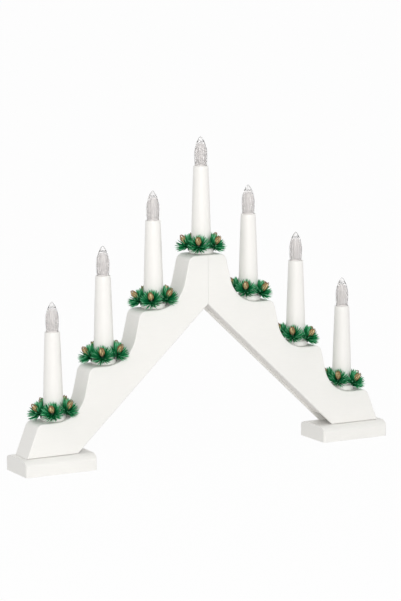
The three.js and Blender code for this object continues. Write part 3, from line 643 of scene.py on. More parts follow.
class Underside:
    """The straight line under the right arm: s runs down it from the apex, t into the wood."""

    TAPER = math.radians(0.57)

    def __init__(self, sizes):
        angle = math.atan2(SEAT[0] - SEAT[1], REACH[2] - REACH[1]) + self.TAPER
        self.down = Vector((math.cos(angle), -math.sin(angle)))
        self.into = Vector((math.sin(angle), math.cos(angle)))
        offset = cove_centre(sizes, 1).dot(self.into) - sizes.cove - sizes.neck
        self.apex = Vector((0, offset / self.into.y))
        self.length = (self.apex.y - ARM_LOW.z) / -self.down.y

    def at(self, s, t):
        return self.apex + self.down * s + self.into * t

    def at_reach(self, reach, t):
        return self.at((reach - t * self.into.x) / self.down.x, t)


def arm_outline(sizes):
    """The right arm from the front: shoulders and coves along the top, then the straight underside."""
    under = Underside(sizes)
    points = [Vector((-OVERRUN, SEAT[0]))]
    for step in range(STEPS):
        shoulder, cove = shoulder_centre(sizes, step), cove_centre(sizes, step + 1)
        across = cove - shoulder
        swing = math.asin((sizes.shoulder + sizes.cove) / across.length)
        leave = math.degrees(math.atan2(across.y, across.x) - swing) + 90
        points += arc(shoulder, sizes.shoulder, 90, leave, 12)
        points += arc(cove, sizes.cove, leave + 180, 270, 30)
    last = shoulder_centre(sizes, STEPS)
    foot = Vector((REACH[STEPS] + sizes.base_reach, ARM_LOW.z))
    across = foot - last
    leave = math.atan2(across.y, across.x) + math.acos(sizes.shoulder / across.length)
    points += arc(last, sizes.shoulder, 90, math.degrees(leave), 12)
    return points + [foot, under.at(under.length, 0), under.at_reach(-OVERRUN, 0)]


def flipped(points, side):
    return [Vector((p.x * side, p.y)) for p in points]


ARM_BASE = 34 * MM
SCREW_INSETS = 12 * MM, 26 * MM
SCREW_REACH = [REACH[STEPS] + ARM_BASE - back for back in SCREW_INSETS]
SCREW_TOP = ARM_LOW.z + 14 * MM
SCREW_HOLE = 2.2 * MM
SINK, SINK_FLOOR, SINK_TOP = 4.1 * MM, 0.8 * MM, 3.8 * MM
WIRE_HOLE, WIRE_HOLE_TAIL = 3 * MM, 6 * MM
POCKET_DEPTH, POCKET_PLAY = 0.02 * MM, 0.6 * MM
CHANNEL_WIDTH, CHANNEL_HEIGHT, CHANNEL_RUN = 8 * MM, 7 * MM, 3 * MM
DOWEL_HOLE, DOWEL_REACH, DOWEL_OUT, DOWEL_DROP = 2.8 * MM, 12.3 * MM, 8.5 * MM, 23 * MM
BUSH_HOLE, BUSH_HOLE_END = 3 * MM, 30 * MM
HALF_BOX = (0.5, 0.2, 1.0)
FOOT_EDGE_POWER = 4 / 3


def oblong(left, low, right, high):
    """The corners of a rectangle."""
    return [Vector(corner) for corner in ((left, low), (right, low), (right, high), (left, high))]


def arm_cutters(sizes, candle, side):
    """Everything cut out of one arm: seats, sockets, wire holes, groove, channel, dowel and screw holes."""
    under = Underside(sizes)
    cutters = []
    for reach, seat in zip(REACH, SEAT):
        roof = under.at_reach(reach, sizes.groove_depth).y
        drill_end = max(min(roof, seat) - WIRE_HOLE_TAIL, ARM_LOW.z)
        socket, socket_end = candle.spigot / 2 + CLEARANCE, seat - candle.spigot_depth - CLEARANCE
        face, pocket = seat - POCKET_DEPTH, candle.dish / 2 + POCKET_PLAY
        profile = [(0, drill_end), (WIRE_HOLE, drill_end), (WIRE_HOLE, socket_end), (socket, socket_end)]
        profile += [(socket, face), (pocket, face), (pocket, seat + OVERRUN), (0, seat + OVERRUN)]
        cutters.append(turned("cutter", profile, 48, (reach * side, 0, 0)))
    far = under.length + 2 * OVERRUN
    groove = [under.at(*corner) for corner in oblong(-2 * OVERRUN, -OVERRUN, far, sizes.groove_depth)]
    channel = oblong(
        under.at(under.length, 0).x,
        ARM_LOW.z - CLEARANCE,
        REACH[STEPS] + CHANNEL_RUN,
        ARM_LOW.z + CHANNEL_HEIGHT,
    )
    for points, width in ((groove, sizes.groove_width), (channel, CHANNEL_WIDTH)):
        cutters.append(cutter(prism(flipped(points, side), width / 2)))
    height = SEAT[0] - DOWEL_DROP
    for y in (-DOWEL_OUT, DOWEL_OUT):
        cutters.append(rod((-DOWEL_REACH, y, height), (DOWEL_REACH, y, height), DOWEL_HOLE))
    for x in (reach * side for reach in SCREW_REACH):
        cutters.append(rod((x, 0, ARM_LOW.z - OVERRUN), (x, 0, SCREW_TOP), SCREW_HOLE, 16))
    if side > 0:
        x, _, z = BUSH_MIDDLE
        inner = sizes.groove_width / 2 - CLEARANCE
        cutters.append(rod((x, inner, z), (x, BUSH_HOLE_END, z), BUSH_HOLE))
    return cutters


class CANDLE_OT_arms(bpy.types.Operator):
    """Make the two stepped arms of the arch"""

    bl_idname = "candle_holder.arms"
    bl_label = "Arms"

    def execute(self, context):
        sizes, candle = context.scene.arch_sizes, context.scene.candle_sizes
        for word, side in SIDES:
            name = f"{word}_arm_wood"
            blank = prism(flipped(arm_outline(sizes), side), ARM_HIGH.y, sizes.ease)
            arm = new_object(name, mesh_from(blank, name))
            half = box_cutter(HALF_BOX, (side * (HALF_BOX[0] / 2 + GLUE_LINE / 2), 0, 0))
            carve(arm, [half], "INTERSECT")
            carve(arm, arm_cutters(sizes, candle, side))
            ease_edges(arm, 0.25 * MM)
            settle(arm, "holder", "painted_wood", material_of("satin_paint"), f"{word}_arm")
        return {"FINISHED"}


def foot_section(s, depth, height):
    """A foot from its end, with the routed edges along its top."""
    points = [Vector((-depth, 0)), Vector((depth, 0))]
    for way, start in ((1, 0), (-1, 90)):
        for point in arc(Vector((0, 0)), 1, start, start + 90, 10):
            run, drop = (abs(value) ** FOOT_EDGE_POWER for value in point)
            out = depth - s.foot_run * (1 - run)
            points.append(Vector((way * out, height - s.foot_drop * (1 - drop))))
    return points


def foot_plan(s, half_length, depth):
    """A foot from above, with its rounded upright edges."""
    points = []
    for x, y, start in ((1, 1, 0), (-1, 1, 90), (-1, -1, 180), (1, -1, 270)):
        centre = Vector((x * (half_length - s.foot_corner), y * (depth - s.foot_corner)))
        points += arc(centre, s.foot_corner, start, start + 90, 6)
    return points


class CANDLE_OT_feet(bpy.types.Operator):
    """Make the two feet"""

    bl_idname = "candle_holder.feet"
    bl_label = "Feet"

    def execute(self, context):
        s = context.scene.arch_sizes
        half_length = (FOOT_HIGH.x - FOOT_LOW.x) / 2
        depth, height = FOOT_HIGH.y, FOOT_HIGH.z
        sink = [(0, -OVERRUN), (SINK, -OVERRUN), (SINK, SINK_FLOOR), (SCREW_HOLE, SINK_TOP)]
        sink += [(SCREW_HOLE, height + OVERRUN), (0, height + OVERRUN)]
        for word, side in SIDES:
            name = f"{word}_foot_wood"
            bar = prism(foot_section(s, depth, height), half_length)
            block = prism(foot_plan(s, half_length, depth), height)
            bmesh.ops.transform(bar, matrix=Matrix.Rotation(QUARTER, 4, "Z"), verts=bar.verts)
            bmesh.ops.transform(block, matrix=Matrix.Rotation(QUARTER, 4, "X"), verts=block.verts)
            foot = new_object(name, mesh_from(bar, name))
            carve(foot, [cutter(block)], "INTERSECT")
            foot.data.transform(Matrix.Translation((side * (FOOT_LOW.x + FOOT_HIGH.x) / 2, 0, 0)))
            carve(foot, [turned("cutter", sink, 32, (reach * side, 0, 0)) for reach in SCREW_REACH])
            ease_edges(foot, 0.5 * MM, 3)
            settle(foot, "holder", "painted_wood", material_of("satin_paint"), f"{word}_foot")
        return {"FINISHED"}


def inputs_of(tree):
    """The identifiers of a geometry tree's inputs, by name."""
    return {item.name: item.identifier for item in tree.interface.items_tree if item.in_out == "INPUT"}


class GeometryTree(Tree):
    """A geometry tree with named inputs, which ends in Realize Instances and Set Material."""

    def __init__(self, name, kinds):
        super().__init__(bpy.data.node_groups.new(name, "GeometryNodeTree"))
        interface = self.tree.interface
        for key, kind in {"Geometry": "Geometry", **kinds, "Material": "Material"}.items():
            interface.new_socket(name=key, in_out="INPUT", socket_type=f"NodeSocket{kind}")
        interface.new_socket(name="Geometry", in_out="OUTPUT", socket_type="NodeSocketGeometry")
        outputs, found = self.tree.nodes.new("NodeGroupInput").outputs, inputs_of(self.tree)
        self.given = {key: Socket(self, self.find(outputs, found[key])) for key in found}

    def close(self, geometry):
        real = self.node("GeometryNodeRealizeInstances", None, {"Geometry": geometry})
        inputs = {"Geometry": real, "Material": self.given["Material"]}
        coated = self.node("GeometryNodeSetMaterial", None, inputs)
        self.feed(self.tree.nodes.new("NodeGroupOutput").inputs[0], coated)
        return self.tree


def apply_tree(piece, name, maker, values):
    """Runs a geometry tree on a piece and keeps the result as its mesh."""
    tree = bpy.data.node_groups.get(name) or maker(name)
    identifiers = inputs_of(tree)
    modifier = piece.modifiers.new(name, "NODES")
    modifier.node_group = tree
    for key, value in values.items():
        modifier[identifiers[key]] = value
    return flatten(piece, piece.name)


def repeat_tree(name):
    """A geometry tree that sets one shape on every point, turned and sized by the point's attributes."""
    nodes = GeometryTree(name, {"Shape": "Object", "Girth": "Float"})
    given = nodes.given

    def stored(key, kind):
        return nodes.node("GeometryNodeInputNamedAttribute", {"data_type": kind}, {"Name": key}, "Attribute")

    settings, inputs = {"transform_space": "ORIGINAL"}, {"Object": given["Shape"]}
    shape = nodes.node("GeometryNodeObjectInfo", settings, inputs, "Geometry")
    turn = nodes.node("FunctionNodeEulerToRotation", None, {"Euler": stored("turn", "FLOAT_VECTOR")})
    inputs = {"X": given["Girth"], "Y": given["Girth"], "Z": stored("reach", "FLOAT")}
    size = nodes.node("ShaderNodeCombineXYZ", None, inputs)
    inputs = {"Points": given["Geometry"], "Instance": shape, "Rotation": turn, "Scale": size}
    return nodes.close(nodes.node("GeometryNodeInstanceOnPoints", None, inputs))


Point = namedtuple("Point", "place aim side reach tint")


def point_mesh(name, points):
    """A mesh of loose points with a turn, a reach and a tint for each."""
    mesh = bpy.data.meshes.new(name)
    mesh.from_pydata([point.place for point in points], [], [])
    turns = [value for point in points for value in turn_of(point.aim, point.side)]
    mesh.attributes.new("turn", "FLOAT_VECTOR", "POINT").data.foreach_set("vector", turns)
    for key in ("reach", "tint"):
        values = [getattr(point, key) for point in points]
        mesh.attributes.new(key, "FLOAT", "POINT").data.foreach_set("value", values)
    return mesh


def turn_of(aim, side):
    """The turn that takes +Z to an aim and +X as near as it can to a side."""
    z = Vector(aim).normalized()
    x = Vector(side)
    x = (x - z * x.dot(z)).normalized()
    return Matrix((x, z.cross(x), z)).transposed().to_euler()


def repeat(name, points, shape, girth, material):
    """One piece made of a shape repeated on points."""
    piece = new_object(name, point_mesh(name, points))
    values = {"Shape": shape, "Girth": girth, "Material": material}
    return apply_tree(piece, "repeat_on_points", repeat_tree, values)


class CANDLE_OT_hardware(bpy.types.Operator):
    """Finish the strips, dowels and wiring, and make the foot screws and the cable inlet"""

    bl_idname = "candle_holder.hardware"
    bl_label = "Screws, strips and wiring"

    KEPT = {
        "left_cover_strip": "fibre_board",
        "right_cover_strip": "fibre_board",
        "front_dowel": "turned_beech",
        "back_dowel": "turned_beech",
        "wiring": "cable_sheath",
    }

    def execute(self, context):
        for node, material in self.KEPT.items():
            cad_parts[node].data.materials.clear()
            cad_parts[node].data.materials.append(material_of(material))
        zinc, shape = material_of("zinc"), self.screw()
        points = [
            Point((side * reach, 0, SINK_FLOOR), (0, 0, 1), self.slot_way(side * reach), 1, 0)
            for _, side in SIDES
            for reach in SCREW_REACH
        ]
        screws = repeat("foot_screws", points, shape, 1.0, zinc)
        discard(shape)
        soften(screws.data, 34)
        nodes = [f"{word}_{where}_foot_screw" for word, _ in SIDES for where in ("outer", "inner")]
        settle(screws, "holder", "zinc_screw", zinc, *nodes)
        self.bush()
        return {"FINISHED"}

    def slot_way(self, x):
        """Each screw has stopped at its own turn."""
        return math.cos(x * 40), math.sin(x * 40), 0

    def screw(self):
        """A countersunk wood screw that stands on its head, with a cross recess and a thread."""
        top, height, neck, point = SCREW_TOP - SINK_FLOOR, 6 * MM, 3 * MM, 3 * MM
        head, edge, shank, core, pitch = 3.8 * MM, 0.3 * MM, 1.9 * MM, 1.35 * MM, 1.6 * MM
        rows = [(0, 0), (head - edge, 0), (head, edge / 2), (shank, neck)]
        while height < top - point:
            rows += [(core, height), (shank, height + pitch / 2)]
            height += pitch
        rows += [(core - 0.05 * MM, height), (0, top)]
        screw = new_object("screw", mesh_from(lathe(rows, 24), "screw"))
        long, wide, deep = 3.8 * MM, 0.9 * MM, 2.4 * MM
        return carve(screw, [box_cutter((long, wide, deep)), box_cutter((wide, long, deep))])

    def bush(self):
        """The collar where the cable goes into the back of the arm."""
        low, high = BUSH_LOW.y, BUSH_HIGH.y
        face, edge, inner = high - 1.2 * MM, 0.4 * MM, 0.3 * MM
        bore, hole, flange = 1.8 * MM, 2.7 * MM, 4.7 * MM
        profile = [(bore, low), (hole, low), (hole, face), (flange, face)]
        profile += rounding(flange - edge, high - edge, edge, 0, 0.5, 1.0, QUARTER)
        profile += [(bore + inner, high), (bore, high - inner)]
        bush = turned("inlet_bush", profile, 48, (0, 0, 0), closed=True)
        place = Matrix.Translation((BUSH_MIDDLE.x, 0, BUSH_MIDDLE.z))
        bush.data.transform(place @ Matrix.Rotation(-QUARTER, 4, "X"))
        settle(bush, "holder", "cable", material_of("cable_sheath"), "cable_inlet_bush")


SLEEVE_FOOT = 1.8 * MM
SLEEVE_FOOT_EASE = 0.4 * MM
SLEEVE_BELLY = 0.3
SLEEVE_FLOOR = 2 * MM
SLEEVE_RIM = 0.6 * MM
RIM_WALL = 1 * MM
LEDGE_WIDTH, LEDGE_THICKNESS = 1.2 * MM, 1.6 * MM
SPIGOT_WALL = 2.2 * MM
HOLDER_TOP = SLEEVE_HEIGHT - 1.5 * MM
HOLDER_LOW = HOLDER_TOP - 22 * MM
HOLDER_WELL = 12 * MM


def sleeve_radius(s, height):
    """Half width of the sleeve at a height over its seat."""
    drop = 1 - height / SLEEVE_HEIGHT
    swell = drop * (1 + SLEEVE_BELLY * (1 - drop))
    return (s.sleeve_top + (s.sleeve_base - s.sleeve_top) * swell) / 2


class CANDLE_OT_sleeves(bpy.types.Operator):
    """Make the tapered candle sleeves"""

    bl_idname = "candle_holder.sleeves"
    bl_label = "Candle sleeves"

    def execute(self, context):
        s = context.scene.candle_sizes
        rim, top = SLEEVE_HEIGHT - SLEEVE_RIM, SLEEVE_HEIGHT
        spigot, bore, pocket = s.spigot / 2, s.spigot / 2 - SPIGOT_WALL, s.sleeve_top / 2 - RIM_WALL
        ledge, floor = HOLDER_LOW - CLEARANCE, SLEEVE_FOOT + SLEEVE_FLOOR
        roof = ledge - LEDGE_THICKNESS
        heights = [SLEEVE_FOOT + (rim - SLEEVE_FOOT) * i / 16 for i in range(17)]
        heights[0] += SLEEVE_FOOT_EASE
        profile = [(bore, -s.spigot_depth), (spigot, -s.spigot_depth), (spigot, SLEEVE_FOOT)]
        profile += [(sleeve_radius(s, SLEEVE_FOOT) - SLEEVE_FOOT_EASE, SLEEVE_FOOT)]
        profile += [(sleeve_radius(s, height), height) for height in heights]
        profile += rounding(sleeve_radius(s, rim) - SLEEVE_RIM, rim, SLEEVE_RIM, 0.4, 0.8, 1.2, QUARTER)
        profile += [(pocket + 0.15 * MM, top), (pocket, top - 0.15 * MM), (pocket, ledge)]
        profile += [(pocket - LEDGE_WIDTH, ledge), (pocket - LEDGE_WIDTH, roof)]
        profile += [(sleeve_radius(s, ledge) - s.sleeve_wall, roof)]
        profile += [(sleeve_radius(s, 4 * MM) - s.sleeve_wall, floor), (bore, floor)]
        on_candles("sleeve_{}", "candle_sleeve_{}", profile, 72, "candle_plastic", "sleeve_plastic")
        return {"FINISHED"}


class CANDLE_OT_dishes(bpy.types.Operator):
    """Make the drip dishes under the candles"""

    bl_idname = "candle_holder.dishes"
    bl_label = "Drip dishes"

    def execute(self, context):
        s = context.scene.candle_sizes
        wall, low, top, floor = 1.4 * MM, GLUE_LINE, s.dish_height, s.dish_floor
        heel, ease, lip, under = 1.2 * MM, 1.0 * MM, wall / 2, -QUARTER
        bore, radius = s.spigot / 2 + CLEARANCE, s.dish / 2
        foot, well = radius - heel, radius - wall
        profile = [(bore, low), (foot, low)]
        profile += rounding(foot, low + heel, heel, under + 0.4, under + 0.8, under + 1.2, 0)
        profile += rounding(radius - lip, top - lip, lip, 0, 0.5, 1.0, QUARTER, 2.1, 2.6, math.pi)
        profile += rounding(well - ease, floor + ease, ease, 0, -0.5, -1.0, under)
        profile += [(bore, floor)]
        on_candles("dish_{}", "drip_dish_{}", profile, 72, "candle_plastic", "sleeve_plastic")
        return {"FINISHED"}


class CANDLE_OT_holders(bpy.types.Operator):
    """Make the lampholders in the sleeves"""

    bl_idname = "candle_holder.holders"
    bl_label = "Lampholders"

    def execute(self, context):
        s = context.scene.candle_sizes
        outer, edge, rim = s.sleeve_top / 2 - RIM_WALL - CLEARANCE, 0.4 * MM, 0.2 * MM
        bore, wire, floor = s.holder_bore / 2, 2.2 * MM, HOLDER_TOP - HOLDER_WELL
        profile = [(wire, HOLDER_LOW), (outer - edge, HOLDER_LOW), (outer, HOLDER_LOW + edge)]
        profile += [(outer, HOLDER_TOP - rim), (outer - rim, HOLDER_TOP), (bore, HOLDER_TOP)]
        profile += [(bore, floor), (wire, floor)]
        on_candles("lampholder_{}_body", "lampholder_{}", profile, 48, "holder_plastic", "lampholder_plastic")
        return {"FINISHED"}


def wave_tree(name):
    """A geometry tree that pushes a turned surface in and out: upright ribs, or a thread where they climb."""
    nodes = GeometryTree(name, dict.fromkeys(("Waves", "Depth", "Climb", "Low", "High", "Fade"), "Float"))
    given = nodes.given
    low, high, fade = given["Low"], given["High"], given["Fade"]
    split = nodes.tree.nodes.new("ShaderNodeSeparateXYZ")
    nodes.feed(split.inputs[0], nodes.node("GeometryNodeInputPosition"))
    x, y, z = (Socket(nodes, output) for output in split.outputs)
    angle = nodes.node("ShaderNodeMath", {"operation": "ARCTAN2"}, {0: y, 1: x})
    phase = angle * given["Waves"] - z * given["Climb"]
    wave = nodes.node("ShaderNodeMath", {"operation": "COSINE"}, {0: phase})

    def faded(start, end):
        settings = {"clamp": True, "interpolation_type": "SMOOTHSTEP"}
        inputs = {"Value": z, "From Min": start, "From Max": end}
        return nodes.node("ShaderNodeMapRange", settings, inputs, "Result")

    mask = faded(low, low + fade) * (1 - faded(high - fade, high))
    level = nodes.node("ShaderNodeCombineXYZ", None, {"X": x, "Y": y, "Z": 0.0})
    outward = nodes.node("ShaderNodeVectorMath", {"operation": "NORMALIZE"}, {0: level})
    push = (wave - 1) * given["Depth"] * mask
    offset = nodes.node("ShaderNodeVectorMath", {"operation": "SCALE"}, {0: outward, "Scale": push})
    moved = {"Geometry": given["Geometry"], "Offset": offset}
    return nodes.close(nodes.node("GeometryNodeSetPosition", None, moved))


SEAM = 0.05 * MM
FLAME_WIDEST_AT = 0.4
FLAME_ROUNDNESS = 0.45
FLAME_WALL = 1.5 * MM
FLAME_ROWS = 40
HOLLOW_TIP = 4.5 * MM
HOLLOW_OGIVE = 4 * MM
HOLLOW_ROWS = 32
CLEAR_TIP = 5 * MM
HAZE_FADE = 2 * MM
# The top share is a painted highlight: white milk over the flame's very top.
BODY_MILK, FOOT_MILK, TOP_HIGHLIGHT = 0.42, 0.6, 0.95
FOOT_HAZE, TOP_HIGHLIGHT_REACH = 1.6 * MM, 5.0 * MM
TOP_STEEPNESS = 2.5
RIB_START, RIB_END, RIB_FADE = 0.6 * MM, 0.66 * BULB_HEIGHT, 2.5 * MM
CAP_HEIGHT, CAP_ROWS = 11 * MM, 60
THREAD_LENGTH, THREAD_DEPTH, THREAD_FADE = 9.4 * MM, 0.3 * MM, 0.8 * MM


def flame_radius(s, share):
    """Half width of the flame at a share of its height: a short swell, then a full curve to the tip."""
    widest, base = s.flame / 2, s.flame_base / 2
    if share < FLAME_WIDEST_AT:
        return base + (widest - base) * math.sin(share / FLAME_WIDEST_AT * math.pi / 2)
    fall = (share - FLAME_WIDEST_AT) / (1 - FLAME_WIDEST_AT)
    ellipse = math.sqrt(1 - fall * fall)
    return widest * (ellipse * FLAME_ROUNDNESS + math.cos(fall * math.pi / 2) * (1 - FLAME_ROUNDNESS))


class CANDLE_OT_bulbs(bpy.types.Operator):
    """Make the flame bulbs: screw cap, frosted stem and clear ribbed flame"""

    bl_idname = "candle_holder.bulbs"
    bl_label = "Flame bulbs"

    def execute(self, context):
        s = context.scene.candle_sizes
        ribs, thread = self.rib_waves(s), self.thread_waves(s)
        for name, bm, waves, material, body, slot, node in (
            ("flame", self.flame(s), ribs, "flame_plastic", "flame", "clear_flame", "bulb_flame"),
            ("screw_cap", self.cap(s), thread, "cap_metal", "cap", "bulb_cap", "bulb_cap"),
            ("bulb_collar", self.collar(), None, "collar_plastic", "cap", "holder_plastic", None),
            ("light_stem", self.stem(s), None, "frosted_stem", "cap", "clear_flame", None),
        ):
            material = material_of(material)
            pattern = new_object(name, mesh_from(bm, name, 40))
            if waves:
                apply_tree(pattern, "waves_round_axis", wave_tree, {**waves, "Material": material})
            for number in CANDLES:
                mesh = pattern.data.copy()
                mesh.transform(Matrix.Translation(PLACES[number]))
                piece = new_object(f"{name}_{number}", mesh)
                nodes = [f"{node}_{number}"] if node else []
                settle(piece, f"{body}_{number}", slot, material, *nodes)
            discard(pattern)
        return {"FINISHED"}

    def rib_waves(self, s):
        ends = {"Low": SLEEVE_HEIGHT + RIB_START, "High": SLEEVE_HEIGHT + RIB_END, "Fade": RIB_FADE}
        return {"Waves": float(s.ribs), "Depth": s.rib_depth, **ends}

    def thread_waves(self, s):
        """One wave that climbs: a thread."""
        ends = {"Low": HOLDER_TOP - THREAD_LENGTH, "High": HOLDER_TOP, "Fade": THREAD_FADE}
        return {"Waves": 1.0, "Depth": THREAD_DEPTH, "Climb": 2 * math.pi / s.thread_pitch, **ends}

    def flame(self, s):
        """A clear envelope with a thicker tip. Its body is milky, its tip clear and its very top painted
        white as a highlight.
        """
        low, tip = SLEEVE_HEIGHT + CLEARANCE, SLEEVE_HEIGHT + BULB_HEIGHT
        bore, top = s.flame_hollow / 2, tip - HOLLOW_TIP
        inside = [(0, top)]
        for i in range(1, HOLLOW_ROWS + 1):
            z = top - (top - low) * i / HOLLOW_ROWS
            room = flame_radius(s, max(0.0, (z - low) / (tip - low))) - FLAME_WALL
            point = 1 - max(0.0, 1 - (top - z) / HOLLOW_OGIVE) ** 2
            inside.append((min(bore, room) * point, z))
        shares = [i / FLAME_ROWS for i in range(FLAME_ROWS)]
        outside = [(flame_radius(s, share), low + (tip - low) * share) for share in shares]
        envelope = lathe(inside + outside + [(0, tip)], s.ribs * 6)
        haze, tipness = (envelope.verts.layers.float.new(name) for name in ("haze", "tip"))
        for vertex in envelope.verts:
            body = min(1.0, max(0.0, (tip - CLEAR_TIP - vertex.co.z) / HAZE_FADE))
            near_foot = max(0.0, 1 - (vertex.co.z - SLEEVE_HEIGHT) / FOOT_HAZE)
            # Painted highlight: the milk grows to full white over the top few millimetres.
            painted_highlight = min(1.0, TOP_STEEPNESS * max(0.0, 1 - (tip - vertex.co.z) / TOP_HIGHLIGHT_REACH))
            vertex[haze] = BODY_MILK * body + FOOT_MILK * near_foot + TOP_HIGHLIGHT * painted_highlight
            vertex[tipness] = 1 - body
        return envelope

    def cap(self, s):
        """The threaded cap with its insulated foot and centre contact."""
        radius, contact, insulator = s.holder_bore / 2 - CLEARANCE, 1.9 * MM, 2.6 * MM
        top = HOLDER_TOP + CLEARANCE
        low = top - CAP_HEIGHT
        shell, shell_height = low + 1.7 * MM, 9.2 * MM
        profile = [(0, low), (contact - 0.3 * MM, low), (contact, low + 0.3 * MM), (contact, low + 0.6 * MM)]
        profile += [(insulator, low + 0.7 * MM), (radius - 0.5 * MM, low + 1.4 * MM)]
        profile += [(radius, shell + shell_height * i / CAP_ROWS) for i in range(CAP_ROWS + 1)]
        return lathe(profile + [(0, top - SEAM)], 48)

    def collar(self):
        """The white collar on the cap."""
        radius, ease = 5.8 * MM, 0.2 * MM
        low, face = HOLDER_TOP + CLEARANCE, SLEEVE_HEIGHT + CLEARANCE - SEAM
        profile = [(0, low), (radius - ease, low), (radius, low + ease)]
        profile += [(radius, face - ease), (radius - ease, face), (0, face)]
        return lathe(profile, 48)

    def stem(self, s):
        """The light stem that stands on the collar, inside the flame."""
        radius, height, taper = s.light_stem / 2, 20.5 * MM, 0.2
        low = SLEEVE_HEIGHT + CLEARANCE
        profile = [(0, low)]
        profile += [(radius * (1 - taper * i / 8), low + (height - radius) * i / 8) for i in range(9)]
        neck, top, turns = radius * (1 - taper), low + height, (0.3, 0.6, 0.9, 1.2, 1.4)
        profile += [(neck * math.cos(a), top - radius + radius * math.sin(a)) for a in turns]
        return lathe(profile + [(0, top)], 40)


RING_HEIGHT = 7.2 * MM
LEFT_LEAN, RIGHT_LEAN = math.radians(5), math.radians(8)
FIRST_TURN, TURN_STEP = math.radians(-118.3), math.radians(-3)


def outward_of(number):
    return (number > MIDDLE) - (number < MIDDLE)


def wreath_pose(w, number):
    """A wreath beside a cove leans outwards on the rim of its dish."""
    outward = outward_of(number)
    lean = (LEFT_LEAN if outward < 0 else RIGHT_LEAN) * outward
    lift = w.ring * math.sin(abs(lean))
    return Matrix.Translation((0, 0, RING_HEIGHT + lift)) @ Matrix.Rotation(lean, 4, "Y")


class Sprig:
    """The root and directions of one sprig in its candle's own frame."""

    OUTSET, DROP, HEIGHT = 1.2 * MM, 1.0 * MM, 4.4 * MM

    def __init__(self, w, pose, turn):
        radial = Vector((math.cos(turn), math.sin(turn), 0))
        self.root = pose @ (radial * (w.ring + self.OUTSET) - Vector((0, 0, self.DROP)))
        axis = radial * math.cos(w.tilt) + Vector((0, 0, math.sin(w.tilt)))
        spin = pose.to_3x3()
        self.axis = (spin @ axis).normalized()
        self.side = (spin @ Vector((-radial.y, radial.x, 0))).normalized()
        self.lift = self.axis.cross(self.side)

    def way(self, splay, bearing):
        out = self.side * math.cos(bearing) + self.lift * math.sin(bearing)
        return self.axis * math.cos(splay) + out * math.sin(splay)


def sprigs_of(w, number):
    pose = wreath_pose(w, number)
    start = FIRST_TURN + (number - 1) * TURN_STEP
    return [Sprig(w, pose, start + 2 * math.pi * i / w.sprigs) for i in range(w.sprigs)]


def is_free(arch, candle, w, point, outward):
    """True where a needle may reach: clear of sleeve, dish, seat and cove, within the wreath's reach."""
    from_axis = math.hypot(point.x, point.y)
    margin = 0.5 * MM
    if from_axis > w.reach or abs(point.y) > DEPTH - CLEARANCE:
        return False
    if from_axis < sleeve_radius(candle, max(point.z, 0)) + margin:
        return False
    if from_axis < candle.dish / 2 + margin and point.z < candle.dish_height + CLEARANCE:
        return False
    if abs(point.y) > ARM_HIGH.y + margin:
        return point.z > 0
    if point.z < margin:
        return False
    along = point.x * outward - arch.cove_shift if outward else 0
    above = point.z - arch.cove
    return along >= 0 or above > 0 or math.hypot(along, above) < arch.cove - margin


class Husk:
    """One leaf of a cone: an almond that bulges away from the cone's axis."""

    STATIONS = 22
    START, SPAN, FULLNESS = 0.04, 0.93, 0.8
    BULGE, STANDOFF, DISHING = 1.5 * MM, 0.25 * MM, 0.28

    def __init__(self, angle, half, low, high):
        self.turn = Matrix.Rotation(angle, 3, "Z")
        self.half, self.low, self.high = half, low, high

    def at(self, share, across, lift=0.0):
        """A point at a share of the height and a share of the half width, raised off the leaf."""
        width = self.half * across * math.sin(math.pi * (self.START + self.SPAN * share)) ** self.FULLNESS
        bulge = self.BULGE * math.sin(math.pi * (0.08 + 0.72 * share)) + self.STANDOFF
        drop = self.DISHING * width * width / self.half
        return self.turn @ Vector((bulge - drop + lift, width, self.low + (self.high - self.low) * share))

    def add_rim(self, bm, rim, radius):
        count = self.STATIONS
        places = []
        for i in range(count):
            angle = 2 * math.pi * i / count
            share, edge = (1 - math.cos(angle)) / 2, math.copysign(1, math.sin(angle) + 1e-9)
            places.append(self.at(share, edge) if 0 < i < count and i != count // 2 else self.at(share, 0))
        rows = []
        for i, place in enumerate(places):
            along = (places[(i + 1) % count] - places[i - 1]).normalized()
            out = self.turn @ Vector((1, 0, 0))
            out = (out - along * out.dot(along)).normalized()
            side = along.cross(out)
            row = [bm.verts.new(place + (out * x + side * y) * radius) for x, y in circle(5)]
            for vertex in row:
                vertex[rim] = 1.0
            rows.append(row)
        skin(bm, rows, closed=True)

    def add_skin(self, bm, rim, cover, thickness):
        """A thin sheet that covers a share of the leaf."""
        rows, columns, foot = 7, 4, 0.03
        across, rise = [2 * j / columns - 1 for j in range(columns + 1)], thickness / 2
        edge = [(side, rise) for side in across] + [(side, -rise) for side in reversed(across)]
        loops = []
        for i in range(rows + 1):
            share = foot + (cover - foot) * i / rows
            loop = [bm.verts.new(self.at(share, side, lift)) for side, lift in edge]
            for vertex, (side, _) in zip(loop, edge):
                vertex[rim] = 0.75 * abs(side)
            loops.append(loop)
        skin(bm, loops)
        for loop in (loops[0], loops[-1]):
            for j in range(columns):
                bm.faces.new((loop[j], loop[j + 1], loop[-2 - j], loop[-1 - j]))


